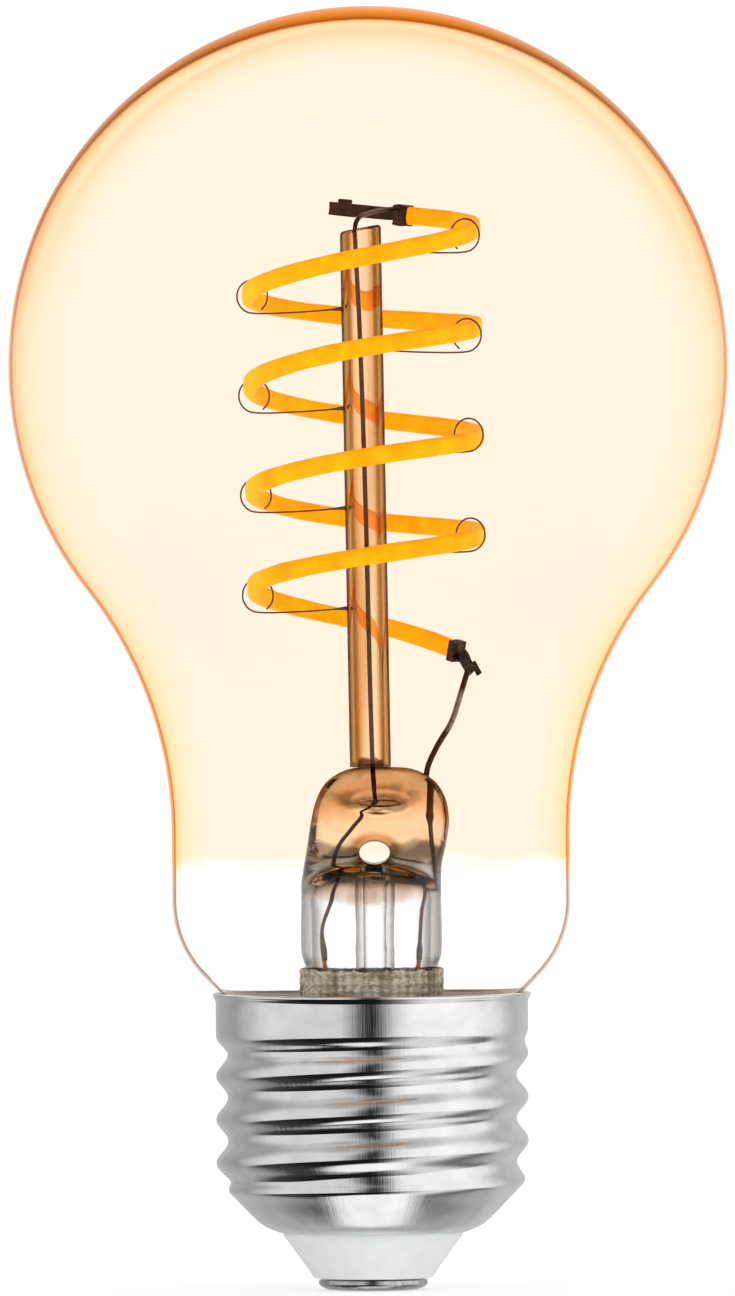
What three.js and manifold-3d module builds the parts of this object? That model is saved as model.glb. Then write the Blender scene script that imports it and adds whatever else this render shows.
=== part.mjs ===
// A smart LED filament lamp: an amber A-shape glass bulb, a spiral filament on a glass mount, and an E26
// screw base that holds the driver and its radio module.
// Millimetres. The origin is the middle of the end contact's face, and +Z runs up the lamp's axis to the
// crown. The stem's pinch is flat across Y: the lamp's front is its -Y side, and its right its +X side.
import * as THREE from "three";
import { mergeVertices } from "three/addons/utils/BufferGeometryUtils.js";
import Module from "manifold-3d";

const wasm = await Module();
wasm.setup();

const { cos, sin, PI } = Math;
const RIGHT_ANGLE = PI / 2;
const rad = THREE.MathUtils.degToRad;
const smoothstep = THREE.MathUtils.smoothstep;
const point = (x, y, z) => new THREE.Vector3(x, y, z);

// ---------------------------------------------------------------- driving dimensions

const FIT_GAP = 0.3; // between pieces that touch, or are fused together, on the real lamp
const ROUND_SEGMENTS = 32;

const OVERALL_LENGTH = 107;
const BULB_RADIUS = 30;
const NECK_RADIUS = 16.6;
const FLANK_ANGLE = rad(38); // below the widest circle, where the crown's sphere turns into the waist
const GLASS_WALL = 0.8;
const SHOULDER_RADIUS = 9;
const SHOULDER_CENTRE_Z = 32.5;
const SHOULDER_ANGLE = rad(45);
const SEAL_RADIUS = 11.5; // the glass neck inside the screw shell
const SEAL_BOTTOM_Z = 21;

const THREAD_RADIUS = 13.02; // E26: 26 mm over the crests, 7 turns to the inch
const THREAD_PITCH = 25.4 / 7;
const THREAD_DEPTH = 0.98;
const THREAD_CREST_Z = 12.45; // height of a crest on the +X side
const SHELL_WALL = 0.35;
const SHELL_BOTTOM_Z = 4.85;
const SHELL_BOTTOM_RADIUS = 7.9;
const SHELL_TOP_Z = 24.8;

const INSULATOR_BOTTOM_Z = 1;
const CONTACT_RADIUS = 4.55;
const CONTACT_THICKNESS = 0.85;
const CONTACT_FACE_RADIUS = 3.3;
const DIMPLE_RADIUS = 1.3;
const PIN_RADIUS = 0.6;
const PIN_TOP_Z = 7.6;

const FLARE_RADIUS = 5.85;
const FLARE_BORE = 4.95;
const FOOT_RADIUS = 5.5; // where the glass-fibre sleeve is wrapped round the stem
const FOOT_BORE = 4.75;
const STEM_TOP_Z = 43.6;
const EXHAUST_HOLE_Z = 36.5;
const EXHAUST_TUBE = { x: 0.3, outer: 1.62, bore: 0.95, top: 34.4, bottom: 24.8 };

const MOUNT_LEAN = rad(-0.75); // the support tube stands a little out of true
const MOUNT_PIVOT_Z = STEM_TOP_Z;
const SUPPORT = { outer: 1.72, bore: 1.05, bottom: STEM_TOP_Z + FIT_GAP, top: 88.3, slant: 0.17 };

const FILAMENT_RADIUS = 9.45; // of the spiral, to the strip's centre line
const FILAMENT_HEIGHT = 1.5; // the strip's own section
const FILAMENT_DEPTH = 1.1;
const FILAMENT_START = rad(67.6); // the upper end, counted from +X; the strip winds down clockwise
const FILAMENT_END = rad(37.5 - 4 * 360);
// Heights of the strip's centre line: at the upper end, at each quarter turn, and at the lower end. Its
// right-hand side (+X) lies flatter than its left-hand side, as the strip hangs on its anchors.
const FILAMENT_HEIGHTS = [
  89.5, 88.35, 86.1, 83.1, 81, 80.1, 78.6, 75.5, 72.6, 71, 69.5, 66.75, 64, 62.8, 61.3, 58.7, 55.5, 53,
];
const STRIP_STEP = rad(22.5); // the strip is drawn straight over each of these
const SUBSTRATE = { height: 0.86, depth: 0.1, clearance: 0.11 };

const ANCHOR_WIRE_RADIUS = 0.1;
const ANCHOR_LOOP_RADIUS = 1.38;
const ANCHOR_PITCH = 8.3;
const LOOP_DRIFT = 0.045; // sideways, from each point of a loop to the next
// The azimuth of each column of anchors, and the height at which its topmost wire runs out.
const ANCHOR_COLUMNS = {
  right: { azimuth: rad(-25), top: 86.35 },
  left: { azimuth: rad(163), top: 81.55 },
};

const LEAD_RADIUS = 0.25; // nickel inner leads
const DUMET_RADIUS = 0.18; // sealed leads, copper clad
const OUTER_LEAD_RADIUS = 0.2;
const CHANNEL_CLEARANCE = 0.14;

const BOARD = { width: 15, bottom: 8.6, shoulder: 19.4, neckWidth: 7.4, top: 24.3, thickness: 1 };
const SLEEVE = { outer: FOOT_RADIUS + 0.55, bore: FOOT_RADIUS + 0.25, bottom: 24.6, top: 26.8 };

// ---------------------------------------------------------------- materials

const finish = (color, roughness, metalness = 0, opacity = 1) =>
  new THREE.MeshStandardMaterial({ color, roughness, metalness, opacity, transparent: opacity < 1 });

const MATERIALS = {
  amberGlass: finish(0xf6c274, 0.05, 0, 0.35),
  clearGlass: finish(0xe8dccb, 0.05, 0, 0.4),
  phosphor: finish(0xffa90a, 0.55),
  polyimide: finish(0x8a5a1c, 0.5),
  terminalMetal: finish(0x3a2b1c, 0.45, 0.8),
  anchorWire: finish(0x55504a, 0.35, 1),
  nickel: finish(0x6b635b, 0.35, 1),
  copperClad: finish(0x7a3f2b, 0.4, 1),
  copper: finish(0xb56a3c, 0.35, 1),
  capMetal: finish(0xc9c9c8, 0.2, 1),
  insulator: finish(0xe9eaee, 0.25),
  solder: finish(0xb9b9b7, 0.3, 1),
  cement: finish(0xcfc8b8, 0.9),
  glassFibre: finish(0x7d7452, 0.85),
  circuitBoard: finish(0x1f5a34, 0.5),
  moduleBoard: finish(0x1c2f5c, 0.5),
  packageBlack: finish(0x1b1b1d, 0.5),
  canMetal: finish(0xb4b6b8, 0.3, 1),
  capacitorCan: finish(0x2b3040, 0.35),
  ferrite: finish(0x39393b, 0.7),
  resistorBody: finish(0x8fb0a0, 0.5),
  wireBlue: finish(0x2f4f8f, 0.5),
  wireRed: finish(0x9c2b26, 0.5),
};

// ---------------------------------------------------------------- geometry helpers

// Points of an arc in a profile's (radius, height) plane. Angles are counted from the outward direction.
function arc(centreR, centreZ, radius, from, to, steps) {
  const angles = Array.from({ length: steps + 1 }, (_, i) => from + ((to - from) * i) / steps);
  return angles.map((a) => [centreR + radius * cos(a), centreZ + radius * sin(a)]);
}

// A solid of revolution about Z. The profile runs anticlockwise in the (radius, height) plane.
function revolve(profile, segments = ROUND_SEGMENTS) {
  const outline = profile.map(([r, z]) => new THREE.Vector2(Math.max(r, 0), z));
  return new THREE.LatheGeometry(outline, segments).rotateX(RIGHT_ANGLE);
}

// A closed ring of wall between two profiles that both run from low to high.
function revolveWall(outer, inner, segments = ROUND_SEGMENTS) {
  return revolve([...outer, ...[...inner].reverse(), outer[0]], segments);
}

// A solid skinned over rings of points, each with the same number of points, with flat ends.
function skin(rings) {
  const count = rings[0].length;
  const corners = rings.flat();
  const index = [];
  for (let i = 0; i + 1 < rings.length; i++) {
    for (let j = 0; j < count; j++) {
      const [a, b] = [i * count + j, i * count + ((j + 1) % count)];
      index.push(a, b, b + count, a, b + count, a + count);
    }
  }
  for (let j = 1; j + 1 < count; j++) {
    const last = (rings.length - 1) * count;
    index.push(0, j + 1, j, last, last + j, last + j + 1);
  }
  return new THREE.BufferGeometry().setFromPoints(corners).setIndex(index);
}

// A horizontal ring centred on (x, 0, z): an ellipse that squares up as power falls below 1.
function ovalRing(halfWidth, halfDepth, z, x = 0, power = 1, count = 24) {
  const bend = (v) => Math.sign(v) * Math.abs(v) ** power;
  return Array.from({ length: count }, (_, i) => {
    const a = (2 * PI * i) / count;
    return point(x + halfWidth * bend(cos(a)), halfDepth * bend(sin(a)), z);
  });
}

// A round wire of the given radius along a smooth curve through the points.
function wire(points, radius, steps = points.length * 3) {
  const section = new THREE.Shape().absarc(0, 0, radius, 0, 2 * PI);
  const extrudePath = new THREE.CatmullRomCurve3(points, false, "centripetal");
  return new THREE.ExtrudeGeometry(section, { steps, curveSegments: 3, extrudePath });
}

function box(width, depth, height, x, y, z) {
  return new THREE.BoxGeometry(width, depth, height).translate(x, y, z);
}

function cylinder(radius, height, x, y, z, segments = 16) {
  const upright = new THREE.CylinderGeometry(radius, radius, height, segments).rotateX(RIGHT_ANGLE);
  return upright.translate(x, y, z);
}

// ---------------------------------------------------------------- joining and cutting

function toSolid(geometry) {
  const bare = geometry.clone();
  for (const name of Object.keys(bare.attributes)) {
    if (name !== "position") bare.deleteAttribute(name);
  }
  const merged = mergeVertices(bare, 1e-4);
  return new wasm.Manifold(
    new wasm.Mesh({
      numProp: 3,
      vertProperties: new Float32Array(merged.attributes.position.array),
      triVerts: new Uint32Array(merged.index.array),
    }),
  );
}

function toGeometry(solid) {
  const mesh = solid.getMesh();
  return new THREE.BufferGeometry()
    .setAttribute("position", new THREE.BufferAttribute(mesh.vertProperties, 3))
    .setIndex(new THREE.BufferAttribute(mesh.triVerts, 1));
}

function join(...geometries) {
  return toGeometry(geometries.map(toSolid).reduce((a, b) => a.add(b)));
}

function cut(geometry, ...tools) {
  return toGeometry(tools.map(toSolid).reduce((a, b) => a.subtract(b), toSolid(geometry)));
}

// ---------------------------------------------------------------- the scene graph

const lamp = new THREE.Group();

// Everything on the support tube leans with it. Its children are still placed by their height on the lamp.
const mount = new THREE.Group();
mount.position.set(MOUNT_PIVOT_Z * -sin(MOUNT_LEAN), 0, MOUNT_PIVOT_Z * (1 - cos(MOUNT_LEAN)));
mount.rotation.y = MOUNT_LEAN;
lamp.add(mount);
mount.updateMatrix();

function place(name, geometry, material, parent = lamp) {
  geometry.computeVertexNormals();
  const mesh = new THREE.Mesh(geometry, material);
  mesh.name = name;
  parent.add(mesh);
}

// ---------------------------------------------------------------- glass bulb

// The bulb's section from the seal up to the crown, set in from the outer face by inset.
function bulbProfile(inset) {
  const crownZ = OVERALL_LENGTH - BULB_RADIUS;
  const waistRadius = (BULB_RADIUS * cos(FLANK_ANGLE) - NECK_RADIUS) / (1 - cos(FLANK_ANGLE));
  const waistR = NECK_RADIUS + waistRadius;
  const waistZ = crownZ - (BULB_RADIUS + waistRadius) * sin(FLANK_ANGLE);
  const shoulderR = NECK_RADIUS - SHOULDER_RADIUS;
  const shoulder = arc(shoulderR, SHOULDER_CENTRE_Z, SHOULDER_RADIUS - inset, -SHOULDER_ANGLE, 0, 4);
  const neckRadius = SEAL_RADIUS - inset;
  const slopeTop = shoulder[0];
  return [
    [neckRadius, SEAL_BOTTOM_Z],
    [neckRadius, slopeTop[1] - (slopeTop[0] - neckRadius)],
    ...shoulder,
    ...arc(waistR, waistZ, waistRadius + inset, PI, PI - FLANK_ANGLE, 5),
    ...arc(0, crownZ, BULB_RADIUS - inset, -FLANK_ANGLE, RIGHT_ANGLE, 12).slice(1),
  ];
}

function addBulb() {
  const outer = bulbProfile(0);
  const inner = bulbProfile(GLASS_WALL);
  place("glass_envelope", revolveWall(outer, inner), MATERIALS.amberGlass);
}

// ---------------------------------------------------------------- screw base

const threadFade = (z) => smoothstep(z, 8, 9.3) * (1 - smoothstep(z, 20, 21.4));

function threadGroove(angle, z) {
  const phase = (2 * PI * (z - THREAD_CREST_Z)) / THREAD_PITCH - angle;
  return (THREAD_DEPTH * threadFade(z) * (1 - cos(phase))) / 2;
}

function rollThread(geometry) {
  const p = geometry.attributes.position;
  for (let i = 0; i < p.count; i++) {
    const [x, y, z] = [p.getX(i), p.getY(i), p.getZ(i)];
    const radius = Math.hypot(x, y);
    const scale = (radius - threadGroove(Math.atan2(y, x), z)) / radius;
    p.setXY(i, x * scale, y * scale);
  }
  return geometry;
}

function addScrewShell() {
  const threadRows = Array.from({ length: 17 }, (_, i) => 10.1 + (i * THREAD_PITCH) / 5);
  const outer = [
    [SHELL_BOTTOM_RADIUS, SHELL_BOTTOM_Z],
    [9.1, 5.4],
    [10.1, 6.25],
    [11.3, 7.5],
    [12.1, 8.3],
    [12.62, 8.9],
    [12.9, 9.45],
    ...threadRows.map((z) => [THREAD_RADIUS, z]),
    [THREAD_RADIUS, 24.1],
    [THREAD_RADIUS + 0.22, SHELL_TOP_Z],
  ];
  const inner = outer.map(([r, z]) => [r - SHELL_WALL, z]);
  inner[0][1] += 0.05;
  place("screw_shell", rollThread(revolveWall(outer, inner)), MATERIALS.capMetal);
}

function addBaseEnd() {
  const boreRadius = PIN_RADIUS + FIT_GAP;
  const throat = SHELL_BOTTOM_RADIUS - SHELL_WALL - FIT_GAP;
  const insulatorOuter = [
    [CONTACT_RADIUS + 0.3, INSULATOR_BOTTOM_Z],
    [CONTACT_RADIUS + 0.55, INSULATOR_BOTTOM_Z + 0.2],
    [7.55, SHELL_BOTTOM_Z - 0.35],
    [throat, SHELL_BOTTOM_Z - 0.2],
    [throat, 6.4],
    [9, 6.6],
    [9, 7.3],
    [3.2, 7.3],
    [2.6, 6],
  ];
  const insulatorInner = [
    [boreRadius, INSULATOR_BOTTOM_Z],
    [boreRadius, 6],
  ];
  place("base_insulator", revolveWall(insulatorOuter, insulatorInner), MATERIALS.insulator);

  const contactOuter = [
    [CONTACT_FACE_RADIUS, 0],
    [3.9, 0.09],
    [4.35, 0.3],
    [CONTACT_RADIUS, 0.58],
    [CONTACT_RADIUS, CONTACT_THICKNESS],
  ];
  const contactInner = [
    [DIMPLE_RADIUS + 0.2, 0],
    [DIMPLE_RADIUS, 0.4],
    [boreRadius - 0.1, 0.5],
    [boreRadius - 0.1, CONTACT_THICKNESS],
  ];
  place("centre_contact", revolveWall(contactOuter, contactInner), MATERIALS.capMetal);

  const headRadius = DIMPLE_RADIUS - 0.22;
  const pin = [
    [0, 0.16],
    [headRadius * 0.7, 0.2],
    [headRadius, 0.36],
    [PIN_RADIUS, 0.42],
    [PIN_RADIUS, PIN_TOP_Z],
    [0, PIN_TOP_Z],
  ];
  place("contact_pin", revolve(pin, 12), MATERIALS.solder);

  const cementRadius = THREAD_RADIUS - SHELL_WALL - 0.1;
  const cement = [
    [SEAL_RADIUS + FIT_GAP, SEAL_BOTTOM_Z + 0.8],
    [cementRadius, SEAL_BOTTOM_Z + 0.8],
    [cementRadius, 24.5],
    [SEAL_RADIUS + FIT_GAP, 23.73],
    [SEAL_RADIUS + FIT_GAP, SEAL_BOTTOM_Z + 0.8],
  ];
  place("base_cement_ring", revolve(cement), MATERIALS.cement);
}

// ---------------------------------------------------------------- glass stem and leads

// The leads from the board up to the filament, as points down each wire's centre line.
const LEFT_INNER_LEAD = [
  point(0.32, 0, 41.1),
  point(0.2, 0, 43.2),
  point(0.1, 0, 50),
  point(0, 0, 66),
  point(-0.2, 0, 80),
  point(-0.42, 0, 87),
  point(-0.42, 0.1, 88.7),
  point(-0.1, 0.9, 89.35),
  point(0.7, 3.2, 89.7),
  point(1.7, 6, 89.95),
  point(2.3, 7.7, 90),
];
const RIGHT_INNER_LEAD = [
  point(7.95, 4.2, 51.3),
  point(7.6, 3.7, 49.7),
  point(6.8, 2.8, 47.3),
  point(5.6, 1.7, 45.3),
  point(4.8, 0.75, 43.6),
  point(4.6, 0.2, 42.3),
  point(4.6, 0, 41.4),
  point(4.55, 0, 40.1),
];
const LEFT_SEALED_LEAD = [
  point(0.34, 0, 40.75),
  point(0.05, 0, 40.2),
  point(-1.5, 0, 38.3),
  point(-2.5, 0, 36.6),
  point(-2.85, 0, 34),
  point(-3.5, 0, 32),
  point(-4.15, 0, 30),
  point(-3.95, 0, 28),
];
const RIGHT_SEALED_LEAD = [
  point(4.55, 0, 39.75),
  point(4.6, 0, 38.2),
  point(4.6, 0, 36.2),
  point(4.4, 0, 34),
  point(4.2, 0, 32),
  point(4.1, 0, 29.6),
  point(4, 0, 28),
];

function channel(points, radius, parent = lamp) {
  const [first, second] = points;
  const [secondLast, last] = points.slice(-2);
  const before = first.clone().addScaledVector(second.clone().sub(first).normalize(), -FIT_GAP);
  const after = last.clone().addScaledVector(last.clone().sub(secondLast).normalize(), FIT_GAP);
  const tool = wire([before, ...points, after], radius + CHANNEL_CLEARANCE, points.length * 2);
  return parent === lamp ? tool : tool.applyMatrix4(parent.matrix);
}

function addStem() {
  const body = [
    ovalRing(10.35, 10.35, 21.3),
    ovalRing(9.9, 9.9, 21.9),
    ovalRing(8.3, 8.3, 22.6),
    ovalRing(6.6, 6.6, 23.4),
    ovalRing(FOOT_RADIUS, FOOT_RADIUS, 24.4),
    ovalRing(FOOT_RADIUS, FOOT_RADIUS, 26.8),
    ovalRing(FLARE_RADIUS, FLARE_RADIUS, 28),
    ovalRing(FLARE_RADIUS, FLARE_RADIUS, 32.5),
    ovalRing(FLARE_RADIUS, 5, 34),
    ovalRing(5.75, 3.8, 35.5, 0.15, 0.9),
    ovalRing(5.8, 3.2, 37.2, 0.5, 0.85),
    ovalRing(5.78, 3, 39, 0.78, 0.85),
    ovalRing(5.44, 2.9, 40.8, 0.87, 0.85),
    ovalRing(4.7, 2.5, 42.2, 0.85, 0.85),
    ovalRing(3.6, 2, 43.05, 0.83, 0.85),
    ovalRing(2.4, 1.4, STEM_TOP_Z - 0.1, 0.8),
    ovalRing(1.2, 0.8, STEM_TOP_Z, 0.7),
  ];
  const hollow = [
    ovalRing(10.4, 10.4, 20.4),
    ovalRing(9.2, 9.2, 21.5),
    ovalRing(7.4, 7.4, 22.2),
    ovalRing(5.8, 5.8, 23),
    ovalRing(FOOT_BORE, FOOT_BORE, 24),
    ovalRing(FOOT_BORE, FOOT_BORE, 26.4),
    ovalRing(FLARE_BORE, FLARE_BORE, 27.4),
    ovalRing(FLARE_BORE, FLARE_BORE, 31.8),
    ovalRing(4.8, 4.1, 33.2),
    ovalRing(4.1, 2.9, 34.3),
    ovalRing(2.6, 1.8, 35),
  ];
  const exhaustHole = new THREE.CylinderGeometry(1, 1, 12, 16).scale(1.3, 1, 0.95);
  exhaustHole.translate(EXHAUST_TUBE.x, 0, EXHAUST_HOLE_Z);
  const stem = cut(
    skin(body),
    skin(hollow),
    exhaustHole,
    cylinder(EXHAUST_TUBE.bore, 2.5, EXHAUST_TUBE.x, 0, 35.25, 12),
    channel(LEFT_SEALED_LEAD, DUMET_RADIUS),
    channel(RIGHT_SEALED_LEAD, DUMET_RADIUS),
    channel(LEFT_INNER_LEAD.slice(0, 3), LEAD_RADIUS, mount),
    channel(RIGHT_INNER_LEAD, LEAD_RADIUS),
  );
  place("glass_stem", stem, MATERIALS.clearGlass);
}

function addExhaustTube() {
  const { x, outer, bore, top, bottom } = EXHAUST_TUBE;
  const profile = [
    [0, bottom],
    [outer * 0.55, bottom + 0.25],
    [outer, bottom + 1.3],
    [outer, top],
    [bore, top],
    [bore, bottom + 1.7],
    [0, bottom + 1],
  ];
  place("exhaust_tube", revolve(profile, 16).translate(x, 0, 0), MATERIALS.clearGlass);
}

// A band of braided glass fibre round the foot of the stem.
function addSleeve() {
  const { outer, bore, bottom, top } = SLEEVE;
  const wall = (r) => [[r, bottom], [r, top]];
  place("insulating_sleeve", revolveWall(wall(outer), wall(bore), 24), MATERIALS.glassFibre);
}

function addLeads() {
  place("inner_lead_left", wire(LEFT_INNER_LEAD, LEAD_RADIUS, 26), MATERIALS.nickel, mount);
  place("inner_lead_right", wire(RIGHT_INNER_LEAD, LEAD_RADIUS, 20), MATERIALS.nickel);
  place("sealed_lead_left", wire(LEFT_SEALED_LEAD, DUMET_RADIUS, 18), MATERIALS.copperClad);
  place("sealed_lead_right", wire(RIGHT_SEALED_LEAD, DUMET_RADIUS, 14), MATERIALS.copperClad);
  for (const [side, x] of [["left", -1], ["right", 1]]) {
    const route = [
      point(4 * x, 0, 27.6),
      point(3.7 * x, -0.35, 26.3),
      point(2.9 * x, -0.85, 25),
      point(2.7 * x, -0.9, 23),
    ];
    place("outer_lead_" + side, wire(route, OUTER_LEAD_RADIUS, 9), MATERIALS.copper);
  }
}

// ---------------------------------------------------------------- support tube and filament

function addSupportTube() {
  const { outer, bore, bottom, top, slant } = SUPPORT;
  const section = (r) => [[r, bottom], [r, (bottom + top) / 2], [r, top]];
  const tube = revolveWall(section(outer), section(bore), 20);
  const p = tube.attributes.position;
  for (let i = 0; i < p.count; i++) {
    if (p.getZ(i) > top - 1) p.setZ(i, top + slant * p.getX(i));
  }
  place("support_tube", tube, MATERIALS.clearGlass, mount);
}

// The strip's height where it has wound to an angle, by a smooth curve through FILAMENT_HEIGHTS.
function filamentHeight(angle) {
  const quarters = FILAMENT_HEIGHTS.slice(1, -1).map((_, i) => -i * RIGHT_ANGLE);
  const knots = [FILAMENT_START, ...quarters, FILAMENT_END];
  const last = knots.length - 1;
  const passed = knots.filter((k) => k > angle).length;
  const at = THREE.MathUtils.clamp(passed - 1, 0, last - 1);
  const slopeAt = (i) => {
    const [a, b] = [Math.max(i - 1, 0), Math.min(i + 1, last)];
    return (FILAMENT_HEIGHTS[b] - FILAMENT_HEIGHTS[a]) / (knots[b] - knots[a]);
  };
  const span = knots[at + 1] - knots[at];
  const t = (angle - knots[at]) / span;
  const [low, high] = [FILAMENT_HEIGHTS[at], FILAMENT_HEIGHTS[at + 1]];
  const rise = high - low;
  const [m0, m1] = [slopeAt(at) * span, slopeAt(at + 1) * span];
  return low + m0 * t + (3 * rise - 2 * m0 - m1) * t ** 2 + (m0 + m1 - 2 * rise) * t ** 3;
}

const filamentPoint = (angle) =>
  point(FILAMENT_RADIUS * cos(angle), FILAMENT_RADIUS * sin(angle), filamentHeight(angle));

// Unit vectors at an angle: along the strip (winding down), out from the axis, and across its height.
function filamentFrame(angle) {
  const step = 0.01;
  const along = filamentPoint(angle - step).sub(filamentPoint(angle + step)).normalize();
  const outward = point(cos(angle), sin(angle), 0);
  return { along, outward, upward: along.clone().cross(outward).normalize() };
}

// Rings of a section that follows the strip. Each section point is [outwards, up].
function windStrip(section, from, to) {
  const steps = Math.round(Math.abs(to - from) / STRIP_STEP);
  return Array.from({ length: steps + 1 }, (_, i) => {
    const angle = from + ((to - from) * i) / steps;
    const { outward, upward } = filamentFrame(angle);
    const centre = filamentPoint(angle);
    return section.map(([u, v]) => centre.clone().addScaledVector(outward, u).addScaledVector(upward, v));
  });
}

const rectangle = (width, height) =>
  [[-1, -1], [1, -1], [1, 1], [-1, 1]].map(([u, v]) => [(u * width) / 2, (v * height) / 2]);

function addFilament() {
  const corner = 0.7; // share of each side that stays flat
  const [w, h] = [FILAMENT_DEPTH / 2, FILAMENT_HEIGHT / 2];
  const section = [
    [-w * corner * 0.7, -h],
    [w * corner * 0.7, -h],
    [w, -h * corner],
    [w, h * corner],
    [w * corner * 0.7, h],
    [-w * corner * 0.7, h],
    [-w, h * corner],
    [-w, -h * corner],
  ];
  const overrun = rad(1);
  const { height, depth, clearance } = SUBSTRATE;
  const slot = rectangle(depth + 2 * clearance, height + 2 * clearance);
  const coating = skin(windStrip(section, FILAMENT_START, FILAMENT_END));
  const core = skin(windStrip(slot, FILAMENT_START + overrun, FILAMENT_END - overrun));
  place("led_filament", cut(coating, core), MATERIALS.phosphor, mount);
  const strip = skin(windStrip(rectangle(depth, height), FILAMENT_START, FILAMENT_END));
  place("filament_substrate", strip, MATERIALS.polyimide, mount);
}

// A terminal is a folded metal crimp over one end of the strip, with a flat tab that the lead is welded
// to. The tab is bent in its own plane by dip, and out of it by bend.
function addTerminal(name, end, inwards, tab) {
  const tip = filamentPoint(end);
  const outOfEnd = tip.clone().sub(filamentPoint(end + inwards * STRIP_STEP)).normalize();
  const outward = point(cos(end), sin(end), 0);
  const sideways = outward.addScaledVector(outOfEnd, -outward.dot(outOfEnd)).normalize();
  const up = sideways.clone().cross(outOfEnd).multiplyScalar(-inwards);
  const frame = new THREE.Matrix4().makeBasis(outOfEnd, up, outOfEnd.clone().cross(up)).setPosition(tip);
  const clearance = 0.08;
  const wall = 0.12;
  const [height, depth] = [FILAMENT_HEIGHT + 2 * clearance, FILAMENT_DEPTH + 2 * clearance];
  const crimp = box(1.1, height + 2 * wall, depth + 2 * wall, -0.05, 0, 0);
  const pocket = box(1.1, height, depth, -0.3, 0, 0);
  const blade = box(tab.length, 1.15, 0.3, tab.length / 2, 0, 0);
  const ear = box(1.2, 0.4, 0.26, tab.length * 0.78, 0.7, 0);
  const bent = join(blade, ear).rotateZ(tab.dip).rotateY(tab.bend).translate(0.35, 0, 0);
  place(name, join(cut(crimp, pocket), bent).applyMatrix4(frame), MATERIALS.terminalMetal, mount);
}

// An anchor is a thin wire fused into the support tube. It runs out level and closes round the strip in a
// loop.
function addAnchors() {
  for (const [side, { azimuth, top }] of Object.entries(ANCHOR_COLUMNS)) {
    const outward = point(cos(azimuth), sin(azimuth), 0);
    const sideways = point(-sin(azimuth), cos(azimuth), 0);
    for (let turn = 0; turn < 4; turn++) {
      const wireZ = top - turn * ANCHOR_PITCH;
      const at = (r, across, z) =>
        outward.clone().multiplyScalar(r).addScaledVector(sideways, across).setZ(z);
      const run = [
        at(SUPPORT.outer + FIT_GAP, 0, wireZ + 0.25),
        at(FILAMENT_RADIUS * 0.6, 0, wireZ + 0.02),
      ];
      const loop = Array.from({ length: 13 }, (_, i) => {
        const a = rad(i * 27);
        const out = FILAMENT_RADIUS + ANCHOR_LOOP_RADIUS * sin(a);
        return at(out, i * LOOP_DRIFT, wireZ + ANCHOR_LOOP_RADIUS * (1 - cos(a)));
      });
      const geometry = wire([...run, ...loop], ANCHOR_WIRE_RADIUS, 18);
      place(`filament_anchor_${side}_${turn + 1}`, geometry, MATERIALS.anchorWire, mount);
    }
  }
}

// ---------------------------------------------------------------- driver and radio inside the base

function addDriverBoard() {
  const { width, bottom, shoulder, neckWidth, top, thickness } = BOARD;
  const outline = new THREE.Shape([
    new THREE.Vector2(-width / 2, bottom),
    new THREE.Vector2(width / 2, bottom),
    new THREE.Vector2(width / 2, shoulder),
    new THREE.Vector2(neckWidth / 2, shoulder),
    new THREE.Vector2(neckWidth / 2, top),
    new THREE.Vector2(-neckWidth / 2, top),
    new THREE.Vector2(-neckWidth / 2, shoulder),
    new THREE.Vector2(-width / 2, shoulder),
  ]);
  const board = new THREE.ExtrudeGeometry(outline, { depth: thickness, bevelEnabled: false });
  place("driver_board", board.rotateX(RIGHT_ANGLE).translate(0, thickness / 2, 0), MATERIALS.circuitBoard);
}

// A chip lying on the board's back: its body with a row of legs on its left and right.
function chip(width, depth, height, x, z, legsPerSide, legSpacing) {
  const face = BOARD.thickness / 2 + 0.05;
  const body = box(width, depth, height, x, face + 0.1 + depth / 2, z);
  const legs = [];
  for (const side of [-1, 1]) {
    for (let i = 0; i < legsPerSide; i++) {
      const legZ = z + (i - (legsPerSide - 1) / 2) * legSpacing;
      legs.push(box(1, 0.5, 0.4, x + side * (width / 2 + 0.35), face + 0.25, legZ));
    }
  }
  return join(body, ...legs);
}

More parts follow.
